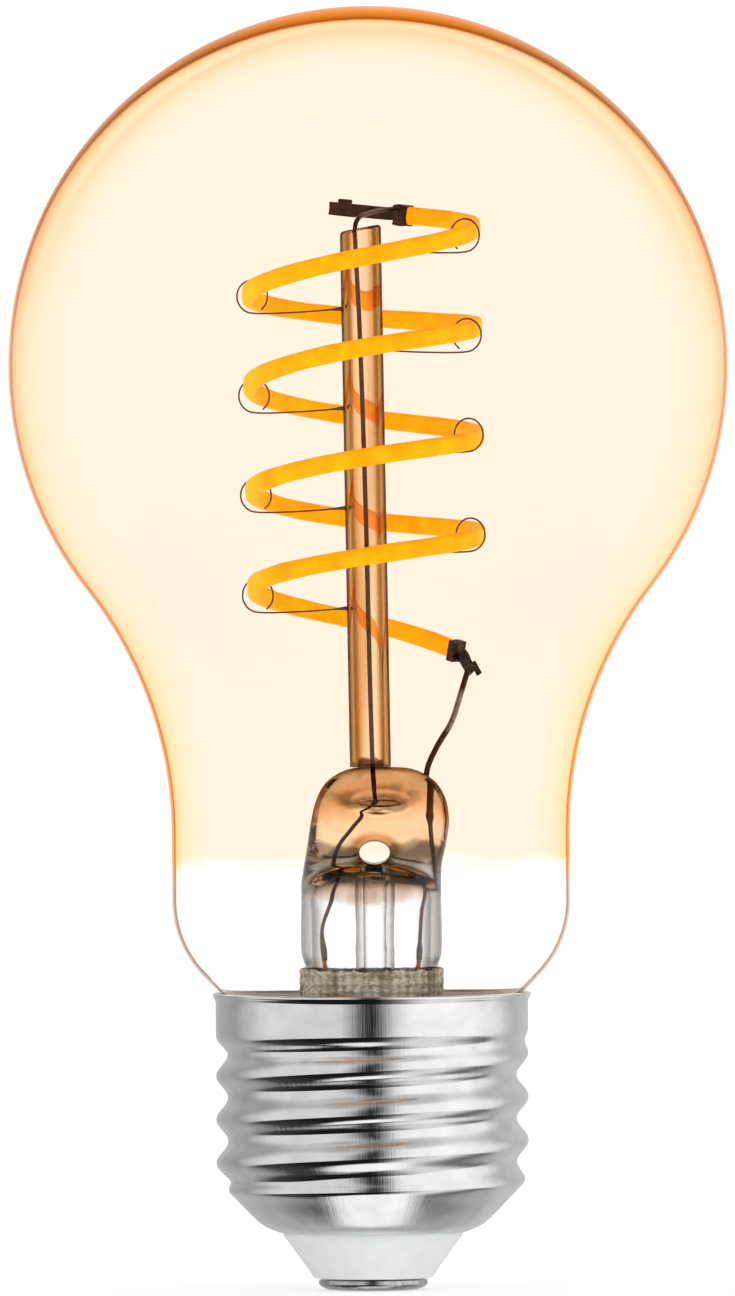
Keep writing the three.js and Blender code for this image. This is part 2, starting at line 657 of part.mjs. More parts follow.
function addComponents() {
  place("bridge_rectifier", chip(3.9, 2.3, 4.6, -4.4, 11.6, 2, 2.5), MATERIALS.packageBlack);
  place("driver_chip", chip(3.8, 1.4, 4.8, 2.4, 11.6, 4, 1.27), MATERIALS.packageBlack);

  const module = { x: 0, z: 16.8, width: 10.4, height: 4.6, board: 0.7 };
  const moduleFace = BOARD.thickness / 2 + 0.1;
  const moduleBoard = box(module.width, module.board, module.height, module.x, moduleFace + 0.35, module.z);
  place("radio_module_board", moduleBoard, MATERIALS.moduleBoard);
  const canBase = moduleFace + module.board + 0.1;
  const can = cut(
    box(7, 1.5, 4, 1.2, canBase + 0.75, module.z),
    box(6.6, 1.4, 3.6, 1.2, canBase + 0.6, module.z),
  );
  place("radio_shield_can", can, MATERIALS.canMetal);

  const antennaFace = BOARD.thickness / 2 + 0.08;
  const bars = [];
  for (let i = 0; i < 4; i++) {
    const z = 20.4 + i * 1.1;
    bars.push(box(5.6, 0.12, 0.35, 0, antennaFace + 0.06, z));
    if (i < 3) bars.push(box(0.35, 0.12, 1.45, i % 2 ? 2.62 : -2.62, antennaFace + 0.06, z + 0.55));
  }
  place("radio_antenna", join(...bars), MATERIALS.copper);

  const front = -BOARD.thickness / 2;
  const capacitor = [
    [0, 11.2],
    [2.9, 11.2],
    [3.1, 11.5],
    [2.95, 11.9],
    [3.1, 12.3],
    [3.1, 19],
    [0, 19],
  ];
  place("bulk_capacitor", revolve(capacitor, 18).translate(-3.6, front - 3.6, 0), MATERIALS.capacitorCan);

  const drum = [
    [0, 13],
    [3, 13],
    [3, 13.8],
    [2.1, 14],
    [2.1, 17.4],
    [3, 17.6],
    [3, 18.4],
    [0, 18.4],
  ];
  place("power_inductor", revolve(drum, 18).translate(3.7, front - 3.6, 0), MATERIALS.ferrite);

  const resistor = [
    [0, -2.9],
    [0.8, -2.9],
    [1.05, -2.6],
    [1.05, -1.9],
    [0.9, -1.6],
    [0.9, 1.6],
    [1.05, 1.9],
    [1.05, 2.6],
    [0.8, 2.9],
    [0, 2.9],
  ];
  const resistorBody = revolve(resistor, 12).rotateY(RIGHT_ANGLE).translate(3.1, front - 1.6, 10.6);
  place("fusible_resistor", resistorBody, MATERIALS.resistorBody);
}

function addBaseWires() {
  const live = [
    point(-0.25, -2.1, 10.6),
    point(-1, -2.1, 10.2),
    point(-1.1, -1.9, 9),
    point(-0.5, -0.9, 8.2),
    point(0, -0.1, PIN_TOP_Z + 0.62),
  ];
  place("live_wire", wire(live, 0.3, 10), MATERIALS.wireRed);
  const neutral = [
    point(-6.4, -0.95, 10.6),
    point(-7.6, -1, 10),
    point(-8.9, -0.6, 10.6),
    point(-10.1, 0, 12.6),
    point(-10.9, 0, 16),
    point(-11.1, 0, 19.2),
  ];
  place("neutral_wire", wire(neutral, 0.3, 12), MATERIALS.wireBlue);
}

addBulb();
addScrewShell();
addBaseEnd();
addStem();
addExhaustTube();
addSleeve();
addLeads();
addSupportTube();
addFilament();
addTerminal("filament_terminal_top", FILAMENT_START, -1, { length: 6, dip: rad(1), bend: rad(25) });
addTerminal("filament_terminal_bottom", FILAMENT_END, 1, { length: 2, dip: rad(-40), bend: rad(0) });
addAnchors();
addDriverBoard();
addComponents();
addBaseWires();

export default lamp;
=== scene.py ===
"""The looks of a smart LED filament lamp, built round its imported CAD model.

Lengths are in millimetres up to the moment a mesh is made, and in metres from there on. The lamp stands on
its end contact at the origin, with +Z up its axis. Its front is the -Y side and its right the +X side.
"""

import math
import random

import bmesh
import bpy
from mathutils import Matrix, Quaternion, Vector, noise


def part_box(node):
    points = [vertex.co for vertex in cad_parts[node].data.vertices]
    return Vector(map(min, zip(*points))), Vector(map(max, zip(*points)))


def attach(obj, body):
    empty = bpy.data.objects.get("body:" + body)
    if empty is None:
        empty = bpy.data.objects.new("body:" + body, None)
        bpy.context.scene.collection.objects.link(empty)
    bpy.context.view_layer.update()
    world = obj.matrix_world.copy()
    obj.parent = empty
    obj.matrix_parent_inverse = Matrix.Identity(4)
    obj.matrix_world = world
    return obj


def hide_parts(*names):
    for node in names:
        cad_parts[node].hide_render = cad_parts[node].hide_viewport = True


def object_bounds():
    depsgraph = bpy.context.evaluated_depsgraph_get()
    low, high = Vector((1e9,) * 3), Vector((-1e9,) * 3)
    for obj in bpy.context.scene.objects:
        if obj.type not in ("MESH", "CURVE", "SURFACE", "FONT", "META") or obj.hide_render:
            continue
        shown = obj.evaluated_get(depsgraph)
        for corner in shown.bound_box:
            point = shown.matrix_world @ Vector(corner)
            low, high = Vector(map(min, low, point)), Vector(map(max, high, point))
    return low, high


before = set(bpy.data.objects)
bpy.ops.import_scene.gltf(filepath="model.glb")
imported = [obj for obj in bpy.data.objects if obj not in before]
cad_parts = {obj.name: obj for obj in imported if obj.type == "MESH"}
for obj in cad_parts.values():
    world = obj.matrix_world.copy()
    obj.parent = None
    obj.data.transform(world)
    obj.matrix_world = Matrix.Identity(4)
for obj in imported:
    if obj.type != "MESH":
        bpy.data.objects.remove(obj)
cad_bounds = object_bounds()

MM = 0.001
TAU = 2 * math.pi


def rad(degrees):
    return math.radians(degrees)


# -------- sizes


def low_of(node):
    """The lowest corner of a CAD node, in millimetres."""
    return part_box(node)[0] / MM


def high_of(node):
    """The highest corner of a CAD node, in millimetres."""
    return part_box(node)[1] / MM


OVERALL_LENGTH = high_of("glass_envelope").z
BULB_RADIUS = 30
NECK_RADIUS = 16.6
FLANK_ANGLE = rad(38)
GLASS_WALL = 0.3
CROWN_WALL = 0.86
WALL_GROWS = (rad(25), rad(88))  # angles up the crown between which it thickens
BULB_IOR = 1.15
LEAD_GLASS_IOR = 1.5
SHOULDER_RADIUS = 9
SHOULDER_CENTRE_Z = 32.5
SHOULDER_ANGLE = rad(45)
SEAL_RADIUS = 11.5
SEAL_BOTTOM_Z = low_of("glass_envelope").z
AMBER_BOTTOM_Z = 35.6

THREAD_RADIUS = 13.02
THREAD_PITCH = 25.4 / 7
THREAD_DEPTH = 0.98
THREAD_CREST_Z = 12.45
TAPER_TOP_Z = 10.1
THREAD_TOP_Z = 22
SHELL_WALL = 0.35
SHELL_BOTTOM_Z = low_of("screw_shell").z
SHELL_TOP_Z = high_of("screw_shell").z

STEM_TOP_Z = high_of("glass_stem").z
FLARE_RADIUS = 5.85
FLARE_BORE = 4.95
FOOT_RADIUS = 5.5
FOOT_BORE = 4.75
EXHAUST_X = 0.3
EXHAUST_RADIUS = 1.62
EXHAUST_BORE = 0.95
EXHAUST_HOLE_Z = 36.5
HOLE_HALF_WIDTH = 1.3
HOLE_HALF_HEIGHT = 0.95
DENT_X = 0.8
DENT_Z = 40.6
DENT_HALF_WIDTH = 2.8
DENT_HALF_HEIGHT = 0.7
DENT_Y = 3.1  # how far in front of the axis, and behind it, the ball that makes the dent is centred

MOUNT_LEAN = rad(-0.75)
SUPPORT_RADIUS = 1.72
SUPPORT_BORE = 1.05
SUPPORT_BOTTOM_Z = STEM_TOP_Z + 0.01
SUPPORT_MIDDLE_Z = 60
SUPPORT_TOP_Z = 88.3
SUPPORT_SLANT = 0.17

FILAMENT_RADIUS = 9.45
FILAMENT_HEIGHT = 1.5
FILAMENT_DEPTH = 1.1
FILAMENT_START = rad(67.6)
FILAMENT_END = rad(37.5 - 4 * 360)
# At the upper end, at each quarter turn from +X, and at the lower end.
FILAMENT_HEIGHTS = [
    89.5, 88.35, 86.1, 83.1, 81, 80.1, 78.6, 75.5, 72.6, 71, 69.5, 66.75, 64, 62.8, 61.3, 58.7, 55.5, 53,
]

ANCHOR_WIRE_RADIUS = 0.075
ANCHOR_LOOP_RADIUS = 1.38
ANCHOR_PITCH = 8.3
LOOP_DRIFT = 0.045
ANCHOR_COLUMNS = {"right": (rad(-25), 86.35), "left": (rad(163), 81.55)}

LEAD_RADIUS = 0.25
TUBE_LEAD_RADIUS = 0.2
SEALED_LEAD_RADIUS = 0.16
OUTER_LEAD_RADIUS = 0.2
SLEEVE_RADIUS = 6.0
SLEEVE_BORE = 5.75
WEAVE_TURNS = 24
WEAVE_CLIMB = 4.5
CRIMP_EDGE = 0.05

NOISE_RANGE = (0.3, 0.7)  # what a noise mostly keeps to

# The lacquer's tint by how steeply it is seen, from 0 square on to 1 edge on.
AMBER_SIDE = [
    (0.4, "ffe0ce"), (0.5, "ffe1ca"), (0.6, "f9d8b8"), (0.713, "fbcfaa"), (0.778, "efb281"),
    (0.818, "ce9d79"), (0.86, "d6d0aa"), (0.93, "d5d0cf"),
]
AMBER_CROWN = [
    (0.4, "ffe2d1"), (0.5, "ffead2"), (0.6, "ffe2bd"), (0.64, "e3d2a8"), (0.69, "fff8d6"),
    (0.75, "eef0c4"), (0.8, "dedea4"), (0.88, "ecf4e0"),
]


# -------- making meshes


def make_mesh(name, corners, faces, crease=40):
    """A smooth mesh from corners in millimetres, sharp where it folds by more than crease degrees."""
    mesh = bpy.data.meshes.new(name)
    mesh.from_pydata([Vector(c) * MM for c in corners], [], faces)
    work = bmesh.new()
    work.from_mesh(mesh)
    bmesh.ops.recalc_face_normals(work, faces=work.faces)
    work.to_mesh(mesh)
    work.free()
    mesh.shade_smooth()
    mesh.set_sharp_from_angle(angle=rad(crease))
    return mesh


def add_piece(mesh, material, slot, *nodes):
    """Puts a mesh in the scene as a piece of the lamp that stands for the CAD nodes named."""
    piece = bpy.data.objects.new(nodes[0] + "_look", mesh)
    bpy.context.scene.collection.objects.link(piece)
    mesh.materials.clear()
    mesh.materials.append(material)
    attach(piece, "root")
    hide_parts(*nodes)


def line_with(mesh, material):
    """Gives a wall's inner face, which looks towards the lamp's axis, a material of its own."""
    mesh.materials.append(material)
    for face in mesh.polygons:
        looks_in = face.normal.x * face.center.x + face.normal.y * face.center.y < 0
        face.material_index = 1 if looks_in else 0


def smoothstep(value, low, high):
    t = min(max((value - low) / (high - low), 0), 1)
    return t * t * (3 - 2 * t)


def arc(centre_r, centre_z, radius, start, end, steps):
    """Points of an arc in a profile's (radius, height) plane."""
    angles = [start + (end - start) * i / steps for i in range(steps + 1)]
    return [(centre_r + radius * math.cos(a), centre_z + radius * math.sin(a)) for a in angles]


def strip_faces(rows, count, wrap_rows=False):
    """Quads between rows of count points each. The last row joins the first one where wrap_rows is set."""
    faces = []
    for i in range(rows if wrap_rows else rows - 1):
        low, high = i * count, (i + 1) % rows * count
        for j in range(count):
            k = (j + 1) % count
            faces.append((low + j, low + k, high + k, high + j))
    return faces


def closed_faces(rows, count):
    """Quads between rows of count points each, and a cap at each end."""
    last = (rows - 1) * count
    return [*strip_faces(rows, count), tuple(range(count - 1, -1, -1)), tuple(range(last, last + count))]


def squared(value, power):
    """A sine or cosine bent so that the oval it draws squares up as power falls below 1."""
    return math.copysign(abs(value) ** power, value)


def revolve(profile, segments, centre=(0, 0), shift=None):
    """Turns an outline that ends on the axis, or a closed loop of wall, round a centre. A new radius may come
    from shift(angle, radius, z)."""
    corners = []
    for r, z in profile:
        for j in range(segments):
            angle = TAU * j / segments
            radius = shift(angle, r, z) if shift else r
            corners.append((centre[0] + radius * math.cos(angle), centre[1] + radius * math.sin(angle), z))
    open_ended = profile[0][0] == 0 or profile[-1][0] == 0
    faces = strip_faces(len(profile), segments, not open_ended)
    return corners, faces


def weld(mesh):
    """Joins the corners that lie on one another, as at the poles of a lathed piece."""
    gap = 1e-7
    work = bmesh.new()
    work.from_mesh(mesh)
    bmesh.ops.remove_doubles(work, verts=work.verts, dist=gap)
    bmesh.ops.dissolve_degenerate(work, edges=work.edges, dist=gap)
    bmesh.ops.recalc_face_normals(work, faces=work.faces)
    work.to_mesh(mesh)
    work.free()
    return mesh


def lathe(name, profile, segments, crease=40, **options):
    return weld(make_mesh(name, *revolve(profile, segments, **options), crease))


def wall_profile(outer, inner):
    return [*outer, *reversed(inner)]


def through(points, per_span):
    """A smooth curve through the points: centripetal Catmull-Rom, with per_span steps between two of them."""
    points = [Vector(p) for p in points]
    ends = [2 * points[0] - points[1], *points, 2 * points[-1] - points[-2]]
    curve = []
    for p0, p1, p2, p3 in zip(ends, ends[1:], ends[2:], ends[3:]):
        d1, d2, d3 = ((b - a).length ** 0.5 for a, b in ((p0, p1), (p1, p2), (p2, p3)))
        m1 = (p1 - p0) / d1 - (p2 - p0) / (d1 + d2) + (p2 - p1) / d2
        m2 = (p2 - p1) / d2 - (p3 - p1) / (d2 + d3) + (p3 - p2) / d3
        m1, m2 = m1 * d2, m2 * d2
        for i in range(per_span):
            t = i / per_span
            curve.append(
                p1 * (2 * t**3 - 3 * t**2 + 1)
                + m1 * (t**3 - 2 * t**2 + t)
                + p2 * (3 * t**2 - 2 * t**3)
                + m2 * (t**3 - t**2)
            )
    curve.append(points[-1])
    return curve


def tube(path, radius, sides=12):
    """A round wire along a path, with flat closed ends. radius is a number, or a function of the share of the
    path passed."""
    tangents = [(b - a).normalized() for a, b in zip([path[0], *path[:-1]], [*path[1:], path[-1]])]
    normal = tangents[0].orthogonal().normalized()
    corners = []
    for i, (centre, along) in enumerate(zip(path, tangents)):
        normal = (normal - along * normal.dot(along)).normalized()
        across = along.cross(normal)
        r = radius(i / (len(path) - 1)) if callable(radius) else radius
        for j in range(sides):
            a = TAU * j / sides
            corners.append(centre + normal * (r * math.cos(a)) + across * (r * math.sin(a)))
    return corners, closed_faces(len(path), sides)


def merge(*parts):
    """Several (corners, faces) pairs as one."""
    corners, faces = [], []
    for part_corners, part_faces in parts:
        first = len(corners)
        corners.extend(part_corners)
        faces.extend(tuple(first + i for i in face) for face in part_faces)
    return corners, faces


def on_mount(corners):
    """Moves corners from the upright lamp to the support tube, which leans a little about the stem's top."""
    pivot = Vector((0, 0, STEM_TOP_Z))
    turn = Matrix.Rotation(MOUNT_LEAN, 3, "Y")
    return [turn @ (Vector(c) - pivot) + pivot for c in corners]


# -------- material nodes


def srgb(code):
    """A linear colour from the six hex digits of a display colour."""
    values = [int(code[i : i + 2], 16) / 255 for i in (0, 2, 4)]
    return (*[v / 12.92 if v <= 0.04045 else ((v + 0.055) / 1.055) ** 2.4 for v in values], 1)


def grey(value):
    return (value, value, value, 1)


def seen(code):
    """The colour of a glass face that gives a display colour once light has crossed two such faces."""
    return (*[c**0.5 for c in srgb(code)[:3]], 1)


class Nodes:
    """A node tree, with short calls that add nodes to it."""

    def __init__(self, tree):
        self.tree = tree

    def put(self, node, socket, value):
        if isinstance(value, bpy.types.NodeSocket):
            self.tree.links.new(value, node.inputs[socket])
        else:
            node.inputs[socket].default_value = value

    def add(self, kind, inputs=None, **settings):
        node = self.tree.nodes.new("ShaderNode" + kind)
        for key, value in settings.items():
            setattr(node, key, value)
        for socket, value in (inputs or {}).items():
            self.put(node, socket, value)
        return node

    def math(self, operation, a, b=0.0):
        return self.add("Math", {0: a, 1: b}, operation=operation).outputs[0]

    def spread(self, value, low, high, to_low=0.0, to_high=1.0, smooth=True):
        inputs = {"Value": value, 1: low, 2: high, 3: to_low, 4: to_high}
        kind = "SMOOTHSTEP" if smooth else "LINEAR"
        return self.add("MapRange", inputs, interpolation_type=kind).outputs["Result"]

    def ramp(self, factor, stops):
        node = self.add("ValToRGB", {0: factor})
        elements = node.color_ramp.elements
        while len(elements) < len(stops):
            elements.new(0.5)
        for element, (place, colour) in zip(elements, stops):
            element.position = place
            element.color = colour
        return node.outputs["Color"]

    def vary(self, noise, low, high):
        """A value that follows a noise from low to high."""
        return self.spread(noise, *NOISE_RANGE, low, high)

    def shades(self, noise, dark, light):
        """A display colour that follows a noise from dark to light."""
        return self.ramp(noise, list(zip(NOISE_RANGE, (srgb(dark), srgb(light)))))

    def tints(self, factor, stops):
        """A ramp of grey levels, or of glass that shows a display colour through two such faces."""
        return self.ramp(factor, [(place, seen(t) if isinstance(t, str) else grey(t)) for place, t in stops])

    def mix(self, factor, a, b, blend="MIX"):
        return self.add("Mix", {0: factor, 6: a, 7: b}, data_type="RGBA", blend_type=blend).outputs[2]

    def times(self, a, b):
        return self.mix(1.0, a, b, "MULTIPLY")


class Finish(Nodes):
    """A material's tree, which starts from the Principled shader and the object's own coordinates."""

    def __init__(self, name, **sockets):
        self.material = bpy.data.materials.new(name)
        self.material.use_nodes = True
        super().__init__(self.material.node_tree)
        self.shader = self.tree.nodes["Principled BSDF"]
        self.coordinates = self.tree.nodes.new("ShaderNodeTexCoord").outputs["Object"]
        self.set(**sockets)

    def axis(self, letter):
        """One coordinate of the point shaded, in millimetres."""
        split = self.add("SeparateXYZ", {0: self.coordinates})
        return self.math("DIVIDE", split.outputs[letter], MM)

    def scaled(self, x, y, z):
        """The point shaded, with each axis multiplied, per millimetre."""
        factors = (x / MM, y / MM, z / MM)
        return self.add("VectorMath", {0: self.coordinates, 1: factors}, operation="MULTIPLY").outputs[0]

    def around(self, turns, rise):
        """Texture coordinates that wrap the lamp's axis, stretched by turns round it and rise along it."""
        split = self.add("SeparateXYZ", {0: self.coordinates})
        angle = self.math("ARCTAN2", split.outputs["Y"], split.outputs["X"])
        wrapped = self.math("MULTIPLY", angle, turns)
        raised = self.math("MULTIPLY", split.outputs["Z"], rise / MM)
        return self.add("CombineXYZ", {0: wrapped, 1: raised}).outputs[0]

    def spans_from(self, x, z, half_width, half_height):
        """How far the point shaded lies from an oval's centre, seen from the front: 1 is on the oval."""
        shares = self.scaled(1 / half_width, 0, 1 / half_height)
        centre = (-x / half_width, 0, -z / half_height)
        offset = self.add("VectorMath", {0: shares, 1: centre}, operation="ADD").outputs[0]
        return self.add("VectorMath", {0: offset}, operation="LENGTH").outputs["Value"]

    def noise(self, vector, detail=2.0, roughness=0.5, distortion=0.0):
        inputs = {"Vector": vector, "Scale": 1.0, "Detail": detail, "Roughness": roughness}
        return self.add("TexNoise", {**inputs, "Distortion": distortion}).outputs["Fac"]

    def facing(self):
        """How steeply the surface is seen, from 0 square on to 1 edge on."""
        return self.add("LayerWeight", {"Blend": 0.5}).outputs["Facing"]

    def bump(self, height, strength, depth):
        node = self.add("Bump", {"Height": height, "Strength": strength, "Distance": depth * MM})
        self.put(self.shader, "Normal", node.outputs["Normal"])

    def set(self, **sockets):
        """Sets the shader's sockets, named with _ for each space, and gives the finished material."""
        for key, value in sockets.items():
            self.put(self.shader, key.replace("_", " "), value)
        return self.material


# -------- materials


def glass_face(finish, passed, mirrored, ior=BULB_IOR):
    """Ends a finish as one face of a glass wall, with one colour for the light it passes and one for what it
    mirrors."""
    fresnel = finish.add("Fresnel", {"IOR": ior})
    bent = finish.add("BsdfRefraction", {"IOR": ior, "Roughness": 0.0, "Color": passed})
    mirror = finish.add("BsdfAnisotropic", {"Roughness": 0.0, "Color": mirrored})
    face = finish.add("MixShader", {0: fresnel.outputs[0], 1: bent.outputs[0], 2: mirror.outputs[0]})
    finish.put(finish.tree.nodes["Material Output"], "Surface", face.outputs[0])
    finish.tree.nodes.remove(finish.shader)
    return finish.material


def caught_light(glass, z):
    """The colour of light that stays in the bulb's wall: orange under the lacquer, deepest at the crown."""
    return glass.ramp(
        glass.math("DIVIDE", z, OVERALL_LENGTH),
        [(0.31, grey(0.75)), (0.34, srgb("ffd896")), (0.74, srgb("ffe2c4")), (0.9, srgb("de9e4e")),
         (0.965, srgb("d59b4f")), (1.0, srgb("e6a933"))],
    )


def amber_face():
    """The bulb's outer face: amber lacquer that ends in a soft line above the neck."""
    glass = Finish("amber_glass")
    z = glass.axis("Z")
    facing = glass.facing()
    side = glass.tints(facing, AMBER_SIDE)
    crown = glass.tints(facing, AMBER_CROWN)
    lacquer = glass.mix(glass.spread(z, 82, 102), side, crown)
    lacquer = glass.mix(glass.spread(z, 74, 58, 0.0, 0.65), lacquer, seen(AMBER_SIDE[0][1]))
    neck_rim = glass.tints(facing, [(0.42, 1.0), (0.64, "fffce0"), (0.8, "fdf2cc"), (0.9, "f8dcb0")])
    lacquer = glass.mix(glass.spread(z, 60, 50), lacquer, neck_rim, "MULTIPLY")
    rim = glass.math("MULTIPLY", glass.spread(z, 78, 90), glass.spread(facing, 0.45, 0.66))
    lacquer = glass.mix(rim, lacquer, srgb("fffcf2"), "MULTIPLY")
    bare = glass.tints(facing, [(0.0, 0.97), (0.8, 0.95), (0.9, 0.85), (1.0, 0.6)])
    wander = glass.noise(glass.around(2.5, 0.05))
    edge = glass.math("ADD", z, glass.vary(wander, -0.35, 0.35))
    coated = glass.spread(edge, AMBER_BOTTOM_Z - 0.5, AMBER_BOTTOM_Z + 0.6)
    # Painted highlights: from middling angles to edge on, the light this face mirrors is made more than twice
    # as bright as what it sees, and near the crown's edge it turns a bright cream.
    shine = glass.tints(facing, [(0.2, 0.4), (0.5, 2.2)])
    mirrored = glass.times(caught_light(glass, z), shine)
    pale = glass.math("MULTIPLY", glass.spread(z, 84, 98), glass.spread(facing, 0.78, 0.9))
    mirrored = glass.mix(pale, mirrored, (1.55, 1.2, 0.75, 1))
    return glass_face(glass, glass.mix(coated, bare, lacquer), mirrored)


def inner_face():
    """The bulb's bare inner face. The light it turns back is darkest where it only just fails to leave."""
    glass = Finish("inner_face")
    depth = glass.ramp(
        glass.facing(),
        [(0.2, grey(0.2)), (0.4, grey(1.0)), (0.5, srgb("fff0d8")), (0.506, srgb("a8683c")),
         (0.511, srgb("b47848")), (0.522, srgb("f0d0b0")), (0.55, grey(1.0))],
    )
    caught = caught_light(glass, glass.axis("Z"))
    edge_on = glass.spread(glass.facing(), 0.49, 0.505)
    mirrored = glass.mix(edge_on, depth, glass.times(depth, caught))
    return glass_face(glass, grey(1.0), mirrored)


def stem_glass():
    """Lead glass: clear at the flare and amber above the press, with dark edges throughout. The dark band
    over the press, the darkening towards the dome's top and the dark marks round the exhaust hole and the
    dent are painted shade.
    """
    glass = Finish("clear_glass")
    sway = glass.noise(glass.scaled(0.35, 0.35, 0.1))
    height = glass.math("ADD", glass.axis("Z"), glass.vary(sway, -0.6, 0.6))
    # Painted shade: a dark band over the press, about 35 to 37 mm up, and a darkening towards the dome's top.
    body = glass.tints(
        glass.spread(height, 33, 44, smooth=False),
        [(0.0, 1.0), (0.08, "ddd2c6"), (0.2, "a39680"), (0.25, "6e6350"), (0.345, "6e5e48"),
         (0.385, "f4dcb4"), (0.54, "fbe2ba"), (0.66, "e6bd8c"), (0.73, "c89e6e"), (0.8, "cfa572"),
         (0.88, "d0ac76"), (0.93, "8a6a46"), (1.0, "6e5236")],
    )
    facing = glass.facing()
    clear_edge = glass.tints(facing, [(0.0, 1.0), (0.32, 0.97), (0.55, "9a918a"), (0.75, "4a4038")])
    dome_edge = glass.tints(
        facing, [(0.0, 1.0), (0.36, 0.98), (0.5, "dcbc94"), (0.66, "94744e"), (0.84, "4a3826")]
    )
    above = glass.spread(height, 38, 40)
    passed = glass.times(body, glass.mix(above, clear_edge, dome_edge))
    from_hole = glass.spans_from(EXHAUST_X, EXHAUST_HOLE_Z, HOLE_HALF_WIDTH, HOLE_HALF_HEIGHT)
    # Painted shade: a dark ring in the glass round the exhaust hole.
    lip = glass.tints(
        glass.spread(from_hole, 1, 2, smooth=False),
        [(0.0, "54402a"), (0.2, "a88660"), (0.45, "e8d0b0"), (0.7, 1.0)],
    )
    # Painted shade: a dark, ragged outline round the dent.
    uneven = glass.vary(glass.noise(glass.scaled(0.6, 0, 1)), -0.25, 0.25)
    from_dent = glass.math("ADD", glass.spans_from(DENT_X, DENT_Z, DENT_HALF_WIDTH, DENT_HALF_HEIGHT), uneven)
    dent_shade = glass.tints(
        glass.math("MULTIPLY", from_dent, 0.5),
        [(0.0, "b4ac9c"), (0.22, "a89e8c"), (0.36, "6e6658"), (0.5, "d8d0c4"), (0.6, 1.0)],
    )
    passed = glass.times(glass.times(passed, lip), dent_shade)
    return glass_face(glass, passed, glass.mix(above, grey(0.8), srgb("b4906a")), LEAD_GLASS_IOR)


def foot_shade(glass, low, high):
    """A mask for painted shade: 0 where the support tube is fused to the stem and 1 above, between two
    heights over the joint.
    """
    ragged = glass.vary(glass.noise(glass.scaled(0.9, 0.9, 0.9)), -0.15, 0.15)
    rise = glass.math("SUBTRACT", glass.axis("Z"), STEM_TOP_Z)
    return glass.spread(glass.math("ADD", rise, ragged), low, high)


def support_glass():
    """The outer face of a drawn glass tube: cream streaks, a brown band to each side, thin dark edges and a
    brown foot of painted shade where it is fused to the stem."""
    glass = Finish("support_glass")
    streaks = glass.noise(glass.scaled(0.5, 0.5, 0.02))
    body = glass.tints(streaks, [(0.36, "e2bc84"), (0.45, "fbe8c4"), (0.6, "fff4da"), (0.7, "f0cc98")])
    band = glass.tints(
        glass.facing(),
        [(0.05, 1.0), (0.12, "d8b07c"), (0.17, "8a6832"), (0.26, "70541e"), (0.32, "c8a26c"),
         (0.38, "fff8ea"), (0.5, "fff8ea"), (0.57, "5a4a2c"), (0.68, "2e2414")],
    )
    passed = glass.mix(foot_shade(glass, 0.2, 0.4), seen("7a5a3a"), glass.times(body, band))
    return glass_face(glass, passed, grey(0.3), LEAD_GLASS_IOR)


def bore_glass():
    """The inner face of the support tube, with painted shade where it is fused to the stem."""
    glass = Finish("bore_glass")
    passed = glass.mix(foot_shade(glass, 0.6, 0.8), seen("6a4a30"), grey(0.98))
    return glass_face(glass, passed, grey(0.9), LEAD_GLASS_IOR)


def exhaust_glass():
    """Clear glass whose face darkens towards edge on."""
    glass = Finish("exhaust_glass")
    passed = glass.tints(glass.facing(), [(0.15, 1.0), (0.35, "ccc6c2"), (0.52, "7a706a"), (0.72, "3a3029")])
    return glass_face(glass, passed, grey(0.82), LEAD_GLASS_IOR)


def phosphor_coat():
    """Yellow phosphor in silicone: a soft, waxy skin with a painted glow, made paler at the spiral's two
    sides by a painted highlight.
    """
    coat = Finish("phosphor_coat", Roughness=0.6, Specular_IOR_Level=0.15)
    grain = coat.noise(coat.scaled(6, 6, 6), detail=4)
    cloud = coat.noise(coat.scaled(0.6, 0.6, 0.6))
    tone = coat.math("ADD", coat.math("MULTIPLY", grain, 0.4), coat.math("MULTIPLY", cloud, 0.6))
    colour = coat.ramp(tone, [(0.32, srgb("f29a00")), (0.5, srgb("fbac00")), (0.68, srgb("ffbe00"))])
    # Painted highlight: the coat turns a paler yellow towards the spiral's two sides, left and right of the
    # axis.
    highlight_reach = coat.math("ABSOLUTE", coat.axis("X"))
    colour = coat.mix(coat.spread(highlight_reach, 8.4, 9.9, 0.0, 0.35), colour, srgb("ffcc18"))
    coat.bump(grain, 0.25, 0.05)
    # Painted glow: the coat gives off a little light in its own colour.
    return coat.set(Base_Color=colour, Emission_Color=colour, Emission_Strength=0.42)


def metal(name, dark, light, roughness, streak, bump, metallic=1.0):
    """A metal whose colour and gloss vary with a fine stretched grain."""
    finish = Finish(name, Metallic=metallic)
    grain = finish.noise(finish.scaled(*streak), detail=4, roughness=0.6)
    colour = finish.shades(grain, dark, light)
    finish.bump(grain, bump, 0.02)
    gloss = finish.vary(grain, roughness * 0.8, roughness * 1.25)
    return finish.set(Base_Color=colour, Roughness=gloss)


def nickel_wire():
    """Nickel browned by the flame, with a painted highlight: a bright length in the middle of the right lead.
    """
    wire = Finish("nickel_wire", Metallic=1.0)
    grain = wire.noise(wire.scaled(5, 5, 2), detail=4, roughness=0.6)
    browned = wire.shades(grain, "2c1f16", "5c4a3c")
    bright = wire.shades(grain, "625f5b", "9c9994")
    z = wire.axis("Z")
    # Painted highlight: a lighter grey length of the right lead, between about 46 and 50 mm up.
    length = wire.math("MULTIPLY", wire.spread(z, 46.2, 47), wire.spread(z, 50.2, 49.4))
    highlight_mask = wire.math("MULTIPLY", length, wire.spread(wire.axis("X"), 4, 5))
    wire.bump(grain, 0.4, 0.02)
    gloss = wire.vary(grain, 0.32, 0.5)
    return wire.set(Base_Color=wire.mix(highlight_mask, browned, bright), Roughness=gloss)


